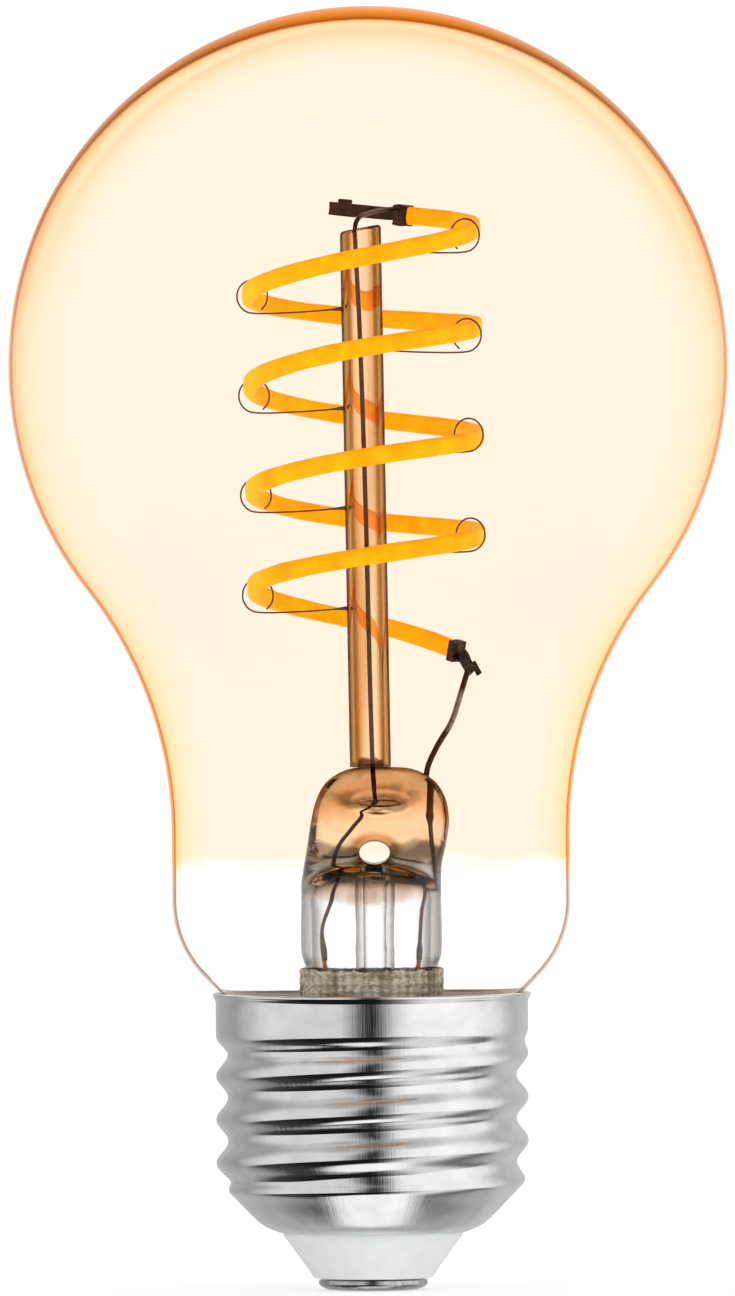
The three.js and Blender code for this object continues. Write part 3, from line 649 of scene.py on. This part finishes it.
def cap_metal():
    """Bright nickel plate, drawn and rolled: fine streaks run up it, and its polish is a little uneven."""
    plate = Finish("cap_metal", Metallic=1.0)
    streaks = plate.noise(plate.around(75, 0.03), detail=4, roughness=0.8)
    haze = plate.noise(plate.around(6, 0.6), detail=3)
    taper = plate.spread(plate.axis("Z"), 6.5, 8.6, 1.0, 0.0)
    colour = plate.shades(haze, "e9e9ea", "fafafa")
    gloss = plate.math("ADD", plate.vary(haze, 0.03, 0.06), plate.math("MULTIPLY", taper, 0.14))
    plate.bump(streaks, 0.3, 0.03)
    return plate.set(Base_Color=colour, Roughness=gloss)


def moulded(name, dark, light, roughness, scale, bump):
    """A moulded or painted surface with a faint mottle and a fine orange-peel skin."""
    finish = Finish(name)
    mottle = finish.noise(finish.scaled(scale, scale, scale), detail=3)
    peel = finish.noise(finish.scaled(scale * 6, scale * 6, scale * 6))
    finish.bump(peel, bump, 0.03)
    gloss = finish.vary(mottle, roughness * 0.85, roughness * 1.15)
    return finish.set(Base_Color=finish.shades(mottle, dark, light), Roughness=gloss)


def glass_fibre():
    """A braided sleeve gone ragged: loose pale fibres that lie every way over a khaki weave."""
    weave = Finish("glass_fibre", Roughness=0.8)
    split = weave.add("SeparateXYZ", {0: weave.around(WEAVE_TURNS, 0)}).outputs[0]
    climb = weave.math("MULTIPLY", weave.axis("Z"), WEAVE_CLIMB)
    one = weave.math("SINE", weave.math("ADD", split, climb))
    two = weave.math("SINE", weave.math("SUBTRACT", split, climb))
    crossing = weave.math("MULTIPLY", one, two)
    fibres = weave.noise(weave.around(9, 3.5), detail=6, roughness=0.75, distortion=1.2)
    patches = weave.noise(weave.around(2.2, 0.25), detail=2)
    pattern = weave.math("ADD", weave.math("MULTIPLY", crossing, 0.08), fibres)
    pattern = weave.math("ADD", pattern, weave.spread(patches, 0.35, 0.65, -0.09, 0.09))
    colour = weave.ramp(
        pattern,
        [(0.3, srgb("6d6449")), (0.44, srgb("9a9072")), (0.54, srgb("bdb497")), (0.68, srgb("efe9d8"))],
    )
    weave.bump(pattern, 0.7, 0.15)
    return weave.set(Base_Color=colour)


def insulator():
    """Glazed white ceramic, a little translucent."""
    ceramic = Finish("insulator", Roughness=0.28, Subsurface_Weight=0.2, Subsurface_Scale=MM, Coat_Weight=0.3)
    mottle = ceramic.noise(ceramic.scaled(0.7, 0.7, 0.7), detail=4)
    ceramic.bump(ceramic.noise(ceramic.scaled(5, 5, 5)), 0.1, 0.02)
    return ceramic.set(Base_Color=ceramic.shades(mottle, "e6e7e9", "eceded"))


def circuit_board(name, dark, light):
    """Solder mask over copper tracks that run up the board."""
    board = Finish(name, Roughness=0.35)
    tracks = board.add("TexWave", {"Vector": board.scaled(1, 0.2, 0.35), "Scale": 0.55, "Distortion": 3.0})
    lanes = board.spread(tracks.outputs["Fac"], 0.45, 0.6)
    board.bump(lanes, 0.4, 0.05)
    return board.set(Base_Color=board.mix(lanes, srgb(dark), srgb(light)))


# -------- glass bulb


def bulb_profile(inner):
    """The bulb's section from the seal up to the crown: its outer face, or its inner one, which runs further
    in as the glass thickens towards the crown."""
    inset = GLASS_WALL if inner else 0
    crown_z = OVERALL_LENGTH - BULB_RADIUS
    waist_radius = (BULB_RADIUS * math.cos(FLANK_ANGLE) - NECK_RADIUS) / (1 - math.cos(FLANK_ANGLE))
    waist_r = NECK_RADIUS + waist_radius
    waist_z = crown_z - (BULB_RADIUS + waist_radius) * math.sin(FLANK_ANGLE)
    shoulder = arc(
        NECK_RADIUS - SHOULDER_RADIUS, SHOULDER_CENTRE_Z, SHOULDER_RADIUS - inset, -SHOULDER_ANGLE, 0, 18
    )
    neck = SEAL_RADIUS - inset
    slope_top = shoulder[0]
    crown = []
    steps = 72
    for i in range(1, steps + 1):
        angle = -FLANK_ANGLE + (TAU / 4 + FLANK_ANGLE) * i / steps
        thickening = (CROWN_WALL - GLASS_WALL) * smoothstep(angle, *WALL_GROWS) if inner else 0
        radius = BULB_RADIUS - inset - thickening
        crown.append((radius * math.cos(angle), crown_z + radius * math.sin(angle)))
    crown[-1] = (0, crown[-1][1])
    return [
        (neck, SEAL_BOTTOM_Z),
        (neck, slope_top[1] - (slope_top[0] - neck)),
        *shoulder,
        *arc(waist_r, waist_z, waist_radius + inset, math.pi, math.pi - FLANK_ANGLE, 24),
        *crown,
    ]


def add_bulb():
    profile = wall_profile(bulb_profile(False), bulb_profile(True))
    mesh = lathe("glass_envelope", profile, 160, crease=60)
    add_piece(mesh, amber_face(), "amber_glass", "glass_envelope")
    line_with(mesh, inner_face())


# -------- screw base


def thread_groove(angle, z):
    """How deep the thread is rolled in at a point of the shell. It fades out at both ends."""
    fade = smoothstep(z, 8, 9.3) * (1 - smoothstep(z, 19.6, 21.8))
    phase = TAU * (z - THREAD_CREST_Z) / THREAD_PITCH - angle
    return THREAD_DEPTH * fade * (1 - math.cos(phase)) / 2


def add_screw_shell():
    taper = through(
        [(7.9, 0, 4.85), (9.1, 0, 5.4), (10.1, 0, 6.25), (11.3, 0, 7.5), (12.1, 0, 8.3), (12.62, 0, 8.9),
         (12.9, 0, 9.45), (THREAD_RADIUS, 0, TAPER_TOP_Z)],
        6,
    )
    rows = 96
    heights = [TAPER_TOP_Z + (THREAD_TOP_Z - TAPER_TOP_Z) * i / rows for i in range(1, rows + 1)]
    thread = [(THREAD_RADIUS, z) for z in heights]
    fillet = [(0, 23.95), (0.03, 24.15), (0.1, 24.33), (0.17, 24.45)]
    rim_fillet = [(THREAD_RADIUS + out, z) for out, z in fillet]
    rim = arc(THREAD_RADIUS + 0.06, 24.63, 0.17, -TAU / 8, TAU / 4, 8)
    outer = [*((p.x, p.z) for p in taper), *thread, *rim_fillet, *rim]
    inner_rows = [(r - SHELL_WALL, z) for r, z in outer[: -len(rim) : 4]]
    profile = wall_profile(outer, [*inner_rows, (THREAD_RADIUS - SHELL_WALL, SHELL_TOP_Z - 0.02)])
    mesh = lathe("screw_shell", profile, 192, crease=60, shift=lambda a, r, z: r - thread_groove(a, z))
    add_piece(mesh, cap_metal(), "cap_metal", "screw_shell")


def add_base_end():
    outer = [
        (4.6, 1.0), *arc(4.75, 1.3, 0.3, -TAU / 4, -TAU / 12, 4), (5.4, 1.75), (6.2, 2.85), (6.95, 3.9),
        (7.4, 4.45), (7.5, 4.75), (7.5, 6.4), (9, 6.6), (9, 7.3), (3.2, 7.3), (2.6, 6),
    ]
    mesh = lathe("base_insulator", wall_profile(outer, [(0.9, 1), (0.9, 6)]), 128, crease=50)
    add_piece(mesh, insulator(), "insulator", "base_insulator")

    contact_outer = [(3.3, 0), (3.7, 0.04), (4.05, 0.14), (4.35, 0.3), (4.52, 0.5), (4.55, 0.62), (4.5, 0.85)]
    contact_inner = [(2.0, 0.02), (1.6, 0.1), (1.42, 0.28), (1.25, 0.42), (0.8, 0.5), (0.8, 0.85)]
    contact = metal("contact_metal", "a8a8a9", "dcdcdb", 0.2, (2, 2, 2), 0.15)
    mesh = lathe("centre_contact", wall_profile(contact_outer, contact_inner), 96, crease=50)
    add_piece(mesh, contact, "cap_metal", "centre_contact")

    pin = [(0, 0.05), (0.4, 0.07), (0.8, 0.16), (1.08, 0.34), (1.05, 0.42), (0.6, 0.5), (0.6, 7.6), (0, 7.6)]
    solder = metal("solder", "8d8d8c", "c4c4c2", 0.3, (4, 4, 4), 0.5)
    add_piece(lathe("contact_pin", pin, 32), solder, "solder", "contact_pin")

    cement = moulded("cement", "dcd8ce", "f0ede6", 0.9, 1.5, 0.8)
    ring = wall_profile([(12.6, 21.8), (12.6, 24.6)], [(11.55, 21.8), (11.55, 23.7), (12.5, 24.58)])
    add_piece(lathe("base_cement_ring", ring, 96), cement, "cement", "base_cement_ring")


# -------- glass stem and leads


def oval_loft(rings, per_span, sides):
    """A closed solid skinned over smooth rings. A ring is (half width, half depth, z, x, power, y), and its y
    may be left out."""
    keys = [Vector(ring[:3]) for ring in rings]
    shapes = [Vector((*ring[3:5], ring[5] if len(ring) > 5 else 0)) for ring in rings]
    path = through(keys, per_span)
    corners = []
    for i, (w, d, z) in enumerate(path):
        share = i / per_span
        at = min(int(share), len(rings) - 2)
        x, power, y = shapes[at].lerp(shapes[at + 1], share - at)
        for j in range(sides):
            a = TAU * j / sides
            corners.append((x + w * squared(math.cos(a), power), y + d * squared(math.sin(a), power), z))
    return corners, closed_faces(len(path), sides)


def cut_and_blow(name, solid, cutters, grain, smoothing):
    """Cuts holes in a solid, then evens its surface as a flame does. grain is the new mesh's face size."""
    target = bpy.data.objects.new(name, make_mesh(name, *solid))
    bpy.context.scene.collection.objects.link(target)
    tools = []
    for i, cutter in enumerate(cutters):
        tool_name = f"{name}_cutter_{i}"
        tool = bpy.data.objects.new(tool_name, make_mesh(tool_name, *cutter))
        bpy.context.scene.collection.objects.link(tool)
        tools.append(tool)
        modifier = target.modifiers.new(f"cut_{i}", "BOOLEAN")
        modifier.object = tool
        modifier.operation = "DIFFERENCE"
        modifier.solver = "EXACT"
    remesh = target.modifiers.new("remesh", "REMESH")
    remesh.mode = "VOXEL"
    remesh.voxel_size = grain * MM
    smooth = target.modifiers.new("smooth", "SMOOTH")
    smooth.factor = 0.5
    smooth.iterations = smoothing
    graph = bpy.context.evaluated_depsgraph_get()
    mesh = bpy.data.meshes.new_from_object(target.evaluated_get(graph))
    for spare in [target, *tools]:
        bpy.data.objects.remove(spare)
    mesh.shade_smooth()
    return mesh


def lens(x, y, z):
    """Rings of the flattened ball that the pinching tool leaves in the stem's face."""
    half_width, half_depth, half_height = 3, 1.05, 0.95
    count = 7
    rings = []
    for i in range(count):
        angle = -TAU / 4 + TAU / 2 * (i + 0.5) / count
        wide, deep = half_width * math.cos(angle), half_depth * math.cos(angle)
        rings.append((wide, deep, z + half_height * math.sin(angle), x, 1, y))
    return rings


def add_stem():
    body = [
        (10.35, 10.35, 21.3, 0, 1), (9.9, 9.9, 21.9, 0, 1), (8.3, 8.3, 22.6, 0, 1), (6.6, 6.6, 23.4, 0, 1),
        (FOOT_RADIUS, FOOT_RADIUS, 24.4, 0, 1), (FOOT_RADIUS, FOOT_RADIUS, 26.8, 0, 1),
        (FLARE_RADIUS, FLARE_RADIUS, 28, 0, 1), (FLARE_RADIUS, FLARE_RADIUS, 32.5, 0, 1),
        (FLARE_RADIUS, 5, 34, 0, 1), (5.75, 3.8, 35.5, 0.15, 0.9), (5.8, 3.2, 37.2, 0.5, 0.85),
        (5.78, 3, 39, 0.78, 0.85), (5.44, 2.9, 40.8, 0.87, 0.85), (4.7, 2.5, 42.2, 0.85, 0.85),
        (3.6, 2, 43.05, 0.83, 0.85), (2.4, 1.4, STEM_TOP_Z - 0.1, 0.8, 1), (1.2, 0.8, STEM_TOP_Z, 0.7, 1),
    ]
    hollow = [
        (10.4, 10.4, 20.4, 0, 1), (9.2, 9.2, 21.5, 0, 1), (7.4, 7.4, 22.2, 0, 1), (5.8, 5.8, 23, 0, 1),
        (FOOT_BORE, FOOT_BORE, 24, 0, 1), (FOOT_BORE, FOOT_BORE, 26.4, 0, 1),
        (FLARE_BORE, FLARE_BORE, 27.4, 0, 1), (FLARE_BORE, FLARE_BORE, 31.8, 0, 1),
        (4.8, 4.1, 33.2, 0, 1), (4.1, 2.9, 34.3, 0, 1), (2.6, 1.8, 35, 0, 1),
    ]
    turns = [TAU * i / 48 for i in range(48)]
    oval = [(HOLE_HALF_WIDTH * math.cos(a), HOLE_HALF_HEIGHT * math.sin(a)) for a in turns]
    through_y = 8
    hole = [(EXHAUST_X + u, y, EXHAUST_HOLE_Z + v) for y in (-through_y, through_y) for u, v in oval]
    bore = tube([Vector((EXHAUST_X, 0, z)) for z in (34.2, 35.2, 36.4)], EXHAUST_BORE, 32)
    dents = [oval_loft(lens(DENT_X, y, DENT_Z), 4, 32) for y in (-DENT_Y, DENT_Y)]
    cutters = [oval_loft(hollow, 8, 96), (hole, closed_faces(2, len(oval))), bore, *dents]
    mesh = cut_and_blow("glass_stem", oval_loft(body, 8, 96), cutters, grain=0.2, smoothing=8)
    add_piece(mesh, stem_glass(), "clear_glass", "glass_stem")

    outer = [(0, 24.8), *arc(0, 26.1, EXHAUST_RADIUS, -TAU / 5, 0, 8), (EXHAUST_RADIUS, 34.5)]
    inner = [(0, 25.8), *arc(0, 26.5, EXHAUST_BORE, -TAU / 5, 0, 6), (EXHAUST_BORE, 34.5)]
    mesh = lathe("exhaust_tube", wall_profile(outer, inner), 64, crease=60, centre=(EXHAUST_X, 0))
    add_piece(mesh, exhaust_glass(), "clear_glass", "exhaust_tube")


def knotted(radius, knots):
    """A wire's radius along its length, thicker at each (share of the length, extra radius, width)."""
    def at(share):
        bulges = [extra * math.exp(-(((share - place) / width) ** 2)) for place, extra, width in knots]
        return radius + sum(bulges)

    return at


def add_wire(node, points, radius, material, slot, leaning=False):
    corners, faces = tube(through(points, 8), radius)
    if leaning:
        corners = on_mount(corners)
    add_piece(make_mesh(node, corners, faces, 60), material, slot, node)


def add_leads():
    nickel = nickel_wire()
    add_wire(
        "inner_lead_left",
        [(0.34, 0, 40.6), (0.32, 0, 41.1), (0.2, 0, 43.2), (0.1, 0, 50), (0, 0, 66), (-0.2, 0, 80),
         (-0.42, 0, 87), (-0.42, 0.1, 88.7), (-0.1, 0.9, 89.35), (0.7, 3.2, 89.7), (1.7, 6, 89.95),
         (2.68, 8.1, 90.05)],
        knotted(TUBE_LEAD_RADIUS, [(0.03, 0.09, 0.035)]), nickel, "nickel_wire", leaning=True,
    )
    add_wire(
        "inner_lead_right",
        [(8.15, 4.5, 51.45), (7.6, 3.7, 49.7), (6.8, 2.8, 47.3), (5.6, 1.7, 45.3), (4.8, 0.75, 43.6),
         (4.6, 0.2, 42.3), (4.6, 0, 41.4), (4.55, 0, 39.7)],
        LEAD_RADIUS, nickel, "nickel_wire",
    )
    clad = metal("copper_clad_wire", "381a10", "643424", 0.4, (5, 5, 2), 0.4)
    ends = [(0.03, 0.14, 0.05), (0.97, 0.12, 0.05)]
    add_wire(
        "sealed_lead_left",
        [(0.34, 0, 40.75), (-0.05, 0, 40.15), (-1.5, 0, 38.3), (-2.5, 0, 36.6), (-2.85, 0, 34), (-3.5, 0, 32),
         (-4.15, 0, 30), (-3.95, 0, 28)],
        knotted(SEALED_LEAD_RADIUS, ends), clad, "copper_clad_wire",
    )
    add_wire(
        "sealed_lead_right",
        [(4.55, 0, 39.75), (4.6, 0, 38.2), (4.6, 0, 36.2), (4.4, 0, 34), (4.2, 0, 32), (4.1, 0, 29.6),
         (4, 0, 28)],
        knotted(SEALED_LEAD_RADIUS, ends), clad, "copper_clad_wire",
    )
    copper = metal("copper", "6e3c22", "a0623c", 0.35, (5, 5, 2), 0.3)
    for side, x in (("left", -1), ("right", 1)):
        add_wire(
            "outer_lead_" + side,
            [(4 * x, 0, 28.1), (3.7 * x, -0.35, 26.3), (2.9 * x, -0.85, 25), (2.7 * x, -0.9, 23)],
            OUTER_LEAD_RADIUS, copper, "copper",
        )
    return copper


# -------- support tube and filament


def add_support_tube():
    lip = 0.12
    top = SUPPORT_TOP_Z - lip
    heights = (SUPPORT_BOTTOM_Z, SUPPORT_MIDDLE_Z, top)
    outer, inner = ([(r, z) for z in heights] for r in (SUPPORT_RADIUS, SUPPORT_BORE))
    crest = arc((SUPPORT_RADIUS + SUPPORT_BORE) / 2, top, (SUPPORT_RADIUS - SUPPORT_BORE) / 2, 0, TAU / 2, 8)
    corners, faces = revolve(wall_profile([*outer, *crest[1:-1]], inner), 64)
    slanted = [(x, y, z + SUPPORT_SLANT * x if z > SUPPORT_MIDDLE_Z else z) for x, y, z in corners]
    mesh = make_mesh("support_tube", on_mount(slanted), faces, 60)
    add_piece(mesh, support_glass(), "clear_glass", "support_tube")
    line_with(mesh, bore_glass())


def filament_height(angle):
    """The strip's height where it has wound to an angle, by a smooth curve through FILAMENT_HEIGHTS."""
    quarters = [-i * TAU / 4 for i in range(len(FILAMENT_HEIGHTS) - 2)]
    knots = [FILAMENT_START, *quarters, FILAMENT_END]
    last = len(knots) - 1
    at = min(max(sum(k > angle for k in knots) - 1, 0), last - 1)

    def slope(i):
        a, b = max(i - 1, 0), min(i + 1, last)
        return (FILAMENT_HEIGHTS[b] - FILAMENT_HEIGHTS[a]) / (knots[b] - knots[a])

    span = knots[at + 1] - knots[at]
    t = (angle - knots[at]) / span
    low, high = FILAMENT_HEIGHTS[at], FILAMENT_HEIGHTS[at + 1]
    m0, m1 = slope(at) * span, slope(at + 1) * span
    rise = high - low
    return low + m0 * t + (3 * rise - 2 * m0 - m1) * t**2 + (m0 + m1 - 2 * rise) * t**3


def filament_point(angle):
    x, y = FILAMENT_RADIUS * math.cos(angle), FILAMENT_RADIUS * math.sin(angle)
    return Vector((x, y, filament_height(angle)))


def add_filament():
    sides, steps = 28, 560
    squareness = 0.55
    corners = []
    for i in range(steps + 1):
        angle = FILAMENT_START + (FILAMENT_END - FILAMENT_START) * i / steps
        along = (filament_point(angle - 0.01) - filament_point(angle + 0.01)).normalized()
        outward = Vector((math.cos(angle), math.sin(angle), 0))
        upward = along.cross(outward).normalized()
        centre = filament_point(angle)
        swell = 1 + 0.05 * noise.noise(Vector((angle * 3, 0, 0)))
        swell += 0.02 * noise.noise(Vector((angle * 14, 5, 0)))
        for j in range(sides):
            a = TAU * j / sides
            u = squared(math.cos(a), squareness) * FILAMENT_DEPTH / 2
            v = squared(math.sin(a), squareness) * FILAMENT_HEIGHT / 2
            corners.append(centre + outward * (u * swell) + upward * (v * swell))
    mesh = make_mesh("led_filament", on_mount(corners), closed_faces(steps + 1, sides), 60)
    add_piece(mesh, phosphor_coat(), "phosphor_coat", "led_filament")


def add_anchors():
    wire = metal("anchor_wire", "3c3631", "6d665e", 0.35, (8, 8, 8), 0.2)
    for side, (azimuth, top) in ANCHOR_COLUMNS.items():
        outward = Vector((math.cos(azimuth), math.sin(azimuth), 0))
        sideways = Vector((-math.sin(azimuth), math.cos(azimuth), 0))
        for turn in range(4):
            wire_z = top - turn * ANCHOR_PITCH

            def at(r, across, z):
                return outward * r + sideways * across + Vector((0, 0, z))

            path = [at(SUPPORT_RADIUS + 0.02, 0, wire_z + 0.25), at(FILAMENT_RADIUS * 0.6, 0, wire_z + 0.02)]
            for i in range(13):
                a = rad(i * 27)
                out = FILAMENT_RADIUS + ANCHOR_LOOP_RADIUS * math.sin(a)
                path.append(at(out, i * LOOP_DRIFT, wire_z + ANCHOR_LOOP_RADIUS * (1 - math.cos(a))))
            node = f"filament_anchor_{side}_{turn + 1}"
            root = knotted(ANCHOR_WIRE_RADIUS, [(0, 0.12, 0.012)])
            add_wire(node, path, root, wire, "anchor_wire", leaning=True)


def crumpled_box(length, width, thickness, seed, crumple):
    """A small sheet-metal box with worn edges and an uneven surface, from x = 0 to its length."""
    work = bmesh.new()
    bmesh.ops.create_cube(work, size=1)
    bmesh.ops.scale(work, vec=(length, width, thickness), verts=work.verts)
    bmesh.ops.translate(work, vec=(length / 2, 0, 0), verts=work.verts)
    bmesh.ops.subdivide_edges(work, edges=work.edges, cuts=5, use_grid_fill=True)
    noise.seed_set(seed)
    for v in work.verts:
        v.co += noise.noise_vector(v.co * 1.3 + Vector((seed, 0, 0))) * crumple
    work.normal_update()
    sharp = [e for e in work.edges if len(e.link_faces) == 2 and e.calc_face_angle() > rad(50)]
    bmesh.ops.bevel(work, geom=sharp, offset=CRIMP_EDGE, segments=2, affect="EDGES", clamp_overlap=True)
    work.verts.index_update()
    corners = [v.co.copy() for v in work.verts]
    faces = [tuple(v.index for v in f.verts) for f in work.faces]
    work.free()
    return corners, faces


def moved(part, matrix):
    corners, faces = part
    return [matrix @ Vector(c) for c in corners], faces


def add_terminal(node, end, inwards, crimp_length, length, dip, bend, material, seed):
    """A folded metal crimp over one end of the strip, with a flat tab that the lead is welded to."""
    tip = filament_point(end)
    out_of_end = (tip - filament_point(end + inwards * rad(22.5))).normalized()
    outward = Vector((math.cos(end), math.sin(end), 0))
    sideways = (outward - out_of_end * outward.dot(out_of_end)).normalized()
    up = sideways.cross(out_of_end) * -inwards
    basis = Matrix((out_of_end, up, out_of_end.cross(up))).transposed().to_4x4()
    basis.translation = tip
    width, thickness, overlap = 1.75, 1.38, 0.65
    crimp = crumpled_box(crimp_length, width, thickness, seed, 0.1)
    crimp = moved(crimp, Matrix.Translation((-overlap, 0, 0)))
    turn = Matrix.Translation((0.35, 0, 0)) @ Matrix.Rotation(bend, 4, "Y") @ Matrix.Rotation(dip, 4, "Z")
    blade = moved(crumpled_box(length, 1.1, 0.3, seed + 3, 0.08), turn)
    beside = turn @ Matrix.Translation((length * 0.68, 0.62, 0))
    ear = moved(crumpled_box(1.2, 0.5, 0.26, seed + 5, 0.05), beside)
    corners, faces = moved(merge(crimp, blade, ear), basis)
    add_piece(make_mesh(node, on_mount(corners), faces, 40), material, "terminal_metal", node)


def add_terminals():
    brown = metal("terminal_metal", "1f150c", "4a3624", 0.45, (3, 3, 3), 0.6, 0.7)
    add_terminal("filament_terminal_top", FILAMENT_START, -1, 1.3, 6, rad(1), rad(25), brown, 11)
    add_terminal("filament_terminal_bottom", FILAMENT_END, 1, 0.85, 2, rad(-40), 0, brown, 29)


# -------- driver and sleeve


def add_sleeve():
    sides, rows = 144, 30
    low, high = low_of("insulating_sleeve").z, high_of("insulating_sleeve").z
    fray = random.Random(4)
    frays = [fray.uniform(-0.22, 0.05) for _ in range(sides)]
    corners = []
    for radius, order in ((SLEEVE_RADIUS, range(rows + 1)), (SLEEVE_BORE, range(rows, -1, -1))):
        for i in order:
            for j in range(sides):
                a = TAU * j / sides
                z = low + (high - low) * i / rows + frays[j] * (i / rows) ** 6
                one, two = (math.sin(WEAVE_TURNS * a + lay * WEAVE_CLIMB * z) for lay in (1, -1))
                r = radius + 0.05 * one * two
                corners.append((r * math.cos(a), r * math.sin(a), z))
    mesh = make_mesh("insulating_sleeve", corners, strip_faces(2 * rows + 2, sides, wrap_rows=True), 60)
    add_piece(mesh, glass_fibre(), "glass_fibre", "insulating_sleeve")


def finish_driver(copper):
    """The hidden pieces keep their CAD shapes and take a material each."""
    black = moulded("package_black", "141416", "242427", 0.5, 3, 0.3)
    finishes = {
        "driver_board": circuit_board("circuit_board", "1a5230", "2f7a48"),
        "radio_module_board": circuit_board("module_board", "18295a", "2a4a8c"),
        "radio_shield_can": metal("can_metal", "a4a6a8", "c9cbcd", 0.3, (6, 1, 1), 0.2),
        "radio_antenna": copper,
        "bridge_rectifier": black,
        "driver_chip": black,
        "bulk_capacitor": moulded("capacitor_sleeve", "232838", "353b50", 0.3, 1, 0.1),
        "power_inductor": moulded("ferrite", "2c2c2e", "48484b", 0.75, 3, 0.6),
        "fusible_resistor": moulded("resistor_body", "7fa291", "a0c1b1", 0.45, 2, 0.2),
        "live_wire": moulded("wire_red", "8c231f", "a8332c", 0.45, 2, 0.1),
        "neutral_wire": moulded("wire_blue", "27447f", "385a9f", 0.45, 2, 0.1),
        "filament_substrate": moulded("polyimide", "7c4f17", "9a6724", 0.5, 3, 0.2),
    }
    for node, material in finishes.items():
        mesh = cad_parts[node].data
        mesh.materials.clear()
        mesh.materials.append(material)


# -------- studio


def add_camera():
    """A long lens in front of the lamp, a little above its middle."""
    data = bpy.data.cameras.new("camera")
    camera = bpy.data.objects.new("camera", data)
    bpy.context.scene.collection.objects.link(camera)
    distance = 2.4
    view_height = 0.108
    data.sensor_fit = "VERTICAL"
    data.sensor_height = 36
    data.lens = data.sensor_height * distance / view_height
    data.clip_start = 0.01
    elevation, tilt = rad(1), rad(-0.33)
    aside = -0.00019
    target = Vector((aside, 0, cad_bounds[1].z / 2))
    back = Vector((0, -math.cos(elevation), math.sin(elevation)))
    camera.location = target + back * distance
    camera.rotation_mode = "QUATERNION"
    camera.rotation_quaternion = (-back).to_track_quat("-Z", "Y") @ Quaternion((0, 0, 1), tilt)
    bpy.context.scene.camera = camera


def add_floor():
    """A plain white table top. It is left out of mirror reflections, which show the studio instead."""
    half = 40
    corners = [(x / MM, y / MM, 0) for x, y in ((-half, -half), (half, -half), (half, half), (-half, half))]
    mesh = make_mesh("floor", corners, [(0, 1, 2, 3)])
    floor = bpy.data.objects.new("floor", mesh)
    bpy.context.scene.collection.objects.link(floor)
    paper = Finish("floor_paper", Roughness=1.0, Specular_IOR_Level=0.0)
    tooth = paper.noise(paper.scaled(0.5, 0.5, 0.5), detail=4)
    tone = paper.ramp(tooth, [(0.0, grey(0.44)), (1.0, grey(0.48))])
    mesh.materials.append(paper.set(Base_Color=tone, Emission_Color=grey(1.0), Emission_Strength=0.6))
    floor.visible_glossy = False
    floor.visible_transmission = False


def add_studio():
    """White all round to the eye, through glass and for soft light. Polished metal mirrors the panels of a
    light tent instead: bright side panels, a dark slot in front, a dark skirt below and a white table."""
    world = bpy.data.worlds.new("studio")
    bpy.context.scene.world = world
    world.use_nodes = True
    world.cycles.sampling_method = "NONE"
    world.node_tree.nodes.clear()
    sky = Nodes(world.node_tree)
    direction = sky.add("SeparateXYZ", {0: sky.add("TexCoord").outputs["Generated"]})
    x, y, z = (direction.outputs[i] for i in range(3))
    azimuth = sky.math("ARCTAN2", x, sky.math("MULTIPLY", y, -1.0))
    turn = sky.math("ADD", sky.math("DIVIDE", azimuth, TAU), 0.5)

    def by_azimuth(stops):
        """A brightness for each direction round the lamp, from (degrees right of the front, brightness)."""
        return sky.ramp(turn, [(degrees / 360 + 0.5, grey(value)) for degrees, value in stops])

    panels = by_azimuth([
        (-180, 0.55), (-150, 0.42), (-134, 0.38), (-122, 0.34), (-88, 0.73), (-22, 0.71), (-9, 0.12),
        (-4, 0.008), (4, 0.008), (10, 0.34), (20, 0.88), (36, 1.0), (72, 1.0), (100, 0.9), (125, 0.5),
        (150, 0.55), (180, 0.6),
    ])
    skirt = by_azimuth([
        (-180, 0.42), (-140, 0.42), (-126, 0.28), (-112, 0.05), (-60, 0.01), (12, 0.01), (30, 0.3),
        (45, 0.75), (80, 0.75), (100, 0.3), (112, 0.14), (122, 0.2), (134, 0.4), (180, 0.42),
    ])
    zenith = by_azimuth([(-180, 0.5), (-20, 0.4), (0, 0.1), (20, 0.55), (180, 0.5)])
    below = sky.math("MULTIPLY", z, -1.0)
    tent = sky.mix(sky.spread(z, 0.75, 0.95), panels, zenith)
    tent = sky.mix(sky.spread(below, 0.5, 0.58), tent, skirt)
    tent = sky.mix(sky.spread(below, 0.93, 0.97), tent, grey(1.0))
    ray = sky.add("LightPath").outputs
    through_glass = sky.mix(sky.spread(z, 0.4, 0.8), grey(1.25), grey(0.2))
    light = sky.mix(ray["Is Glossy Ray"], grey(1.06), tent)
    light = sky.mix(ray["Is Transmission Ray"], light, through_glass)
    background = sky.add("Background", {"Color": light, "Strength": 1.0})
    sky.add("OutputWorld", {"Surface": background.outputs[0]})


def set_view():
    """Plain display colours, and enough bounces for light to cross every wall of the nested glass."""
    scene = bpy.context.scene
    scene.view_settings.view_transform = "Standard"
    scene.cycles.max_bounces = 32
    scene.cycles.transmission_bounces = 32
    scene.cycles.glossy_bounces = 12


# -------- the lamp

add_camera()
set_view()
add_studio()
add_floor()
add_bulb()
add_screw_shell()
add_base_end()
add_stem()
copper_finish = add_leads()
add_support_tube()
add_filament()
add_anchors()
add_terminals()
add_sleeve()
finish_driver(copper_finish)
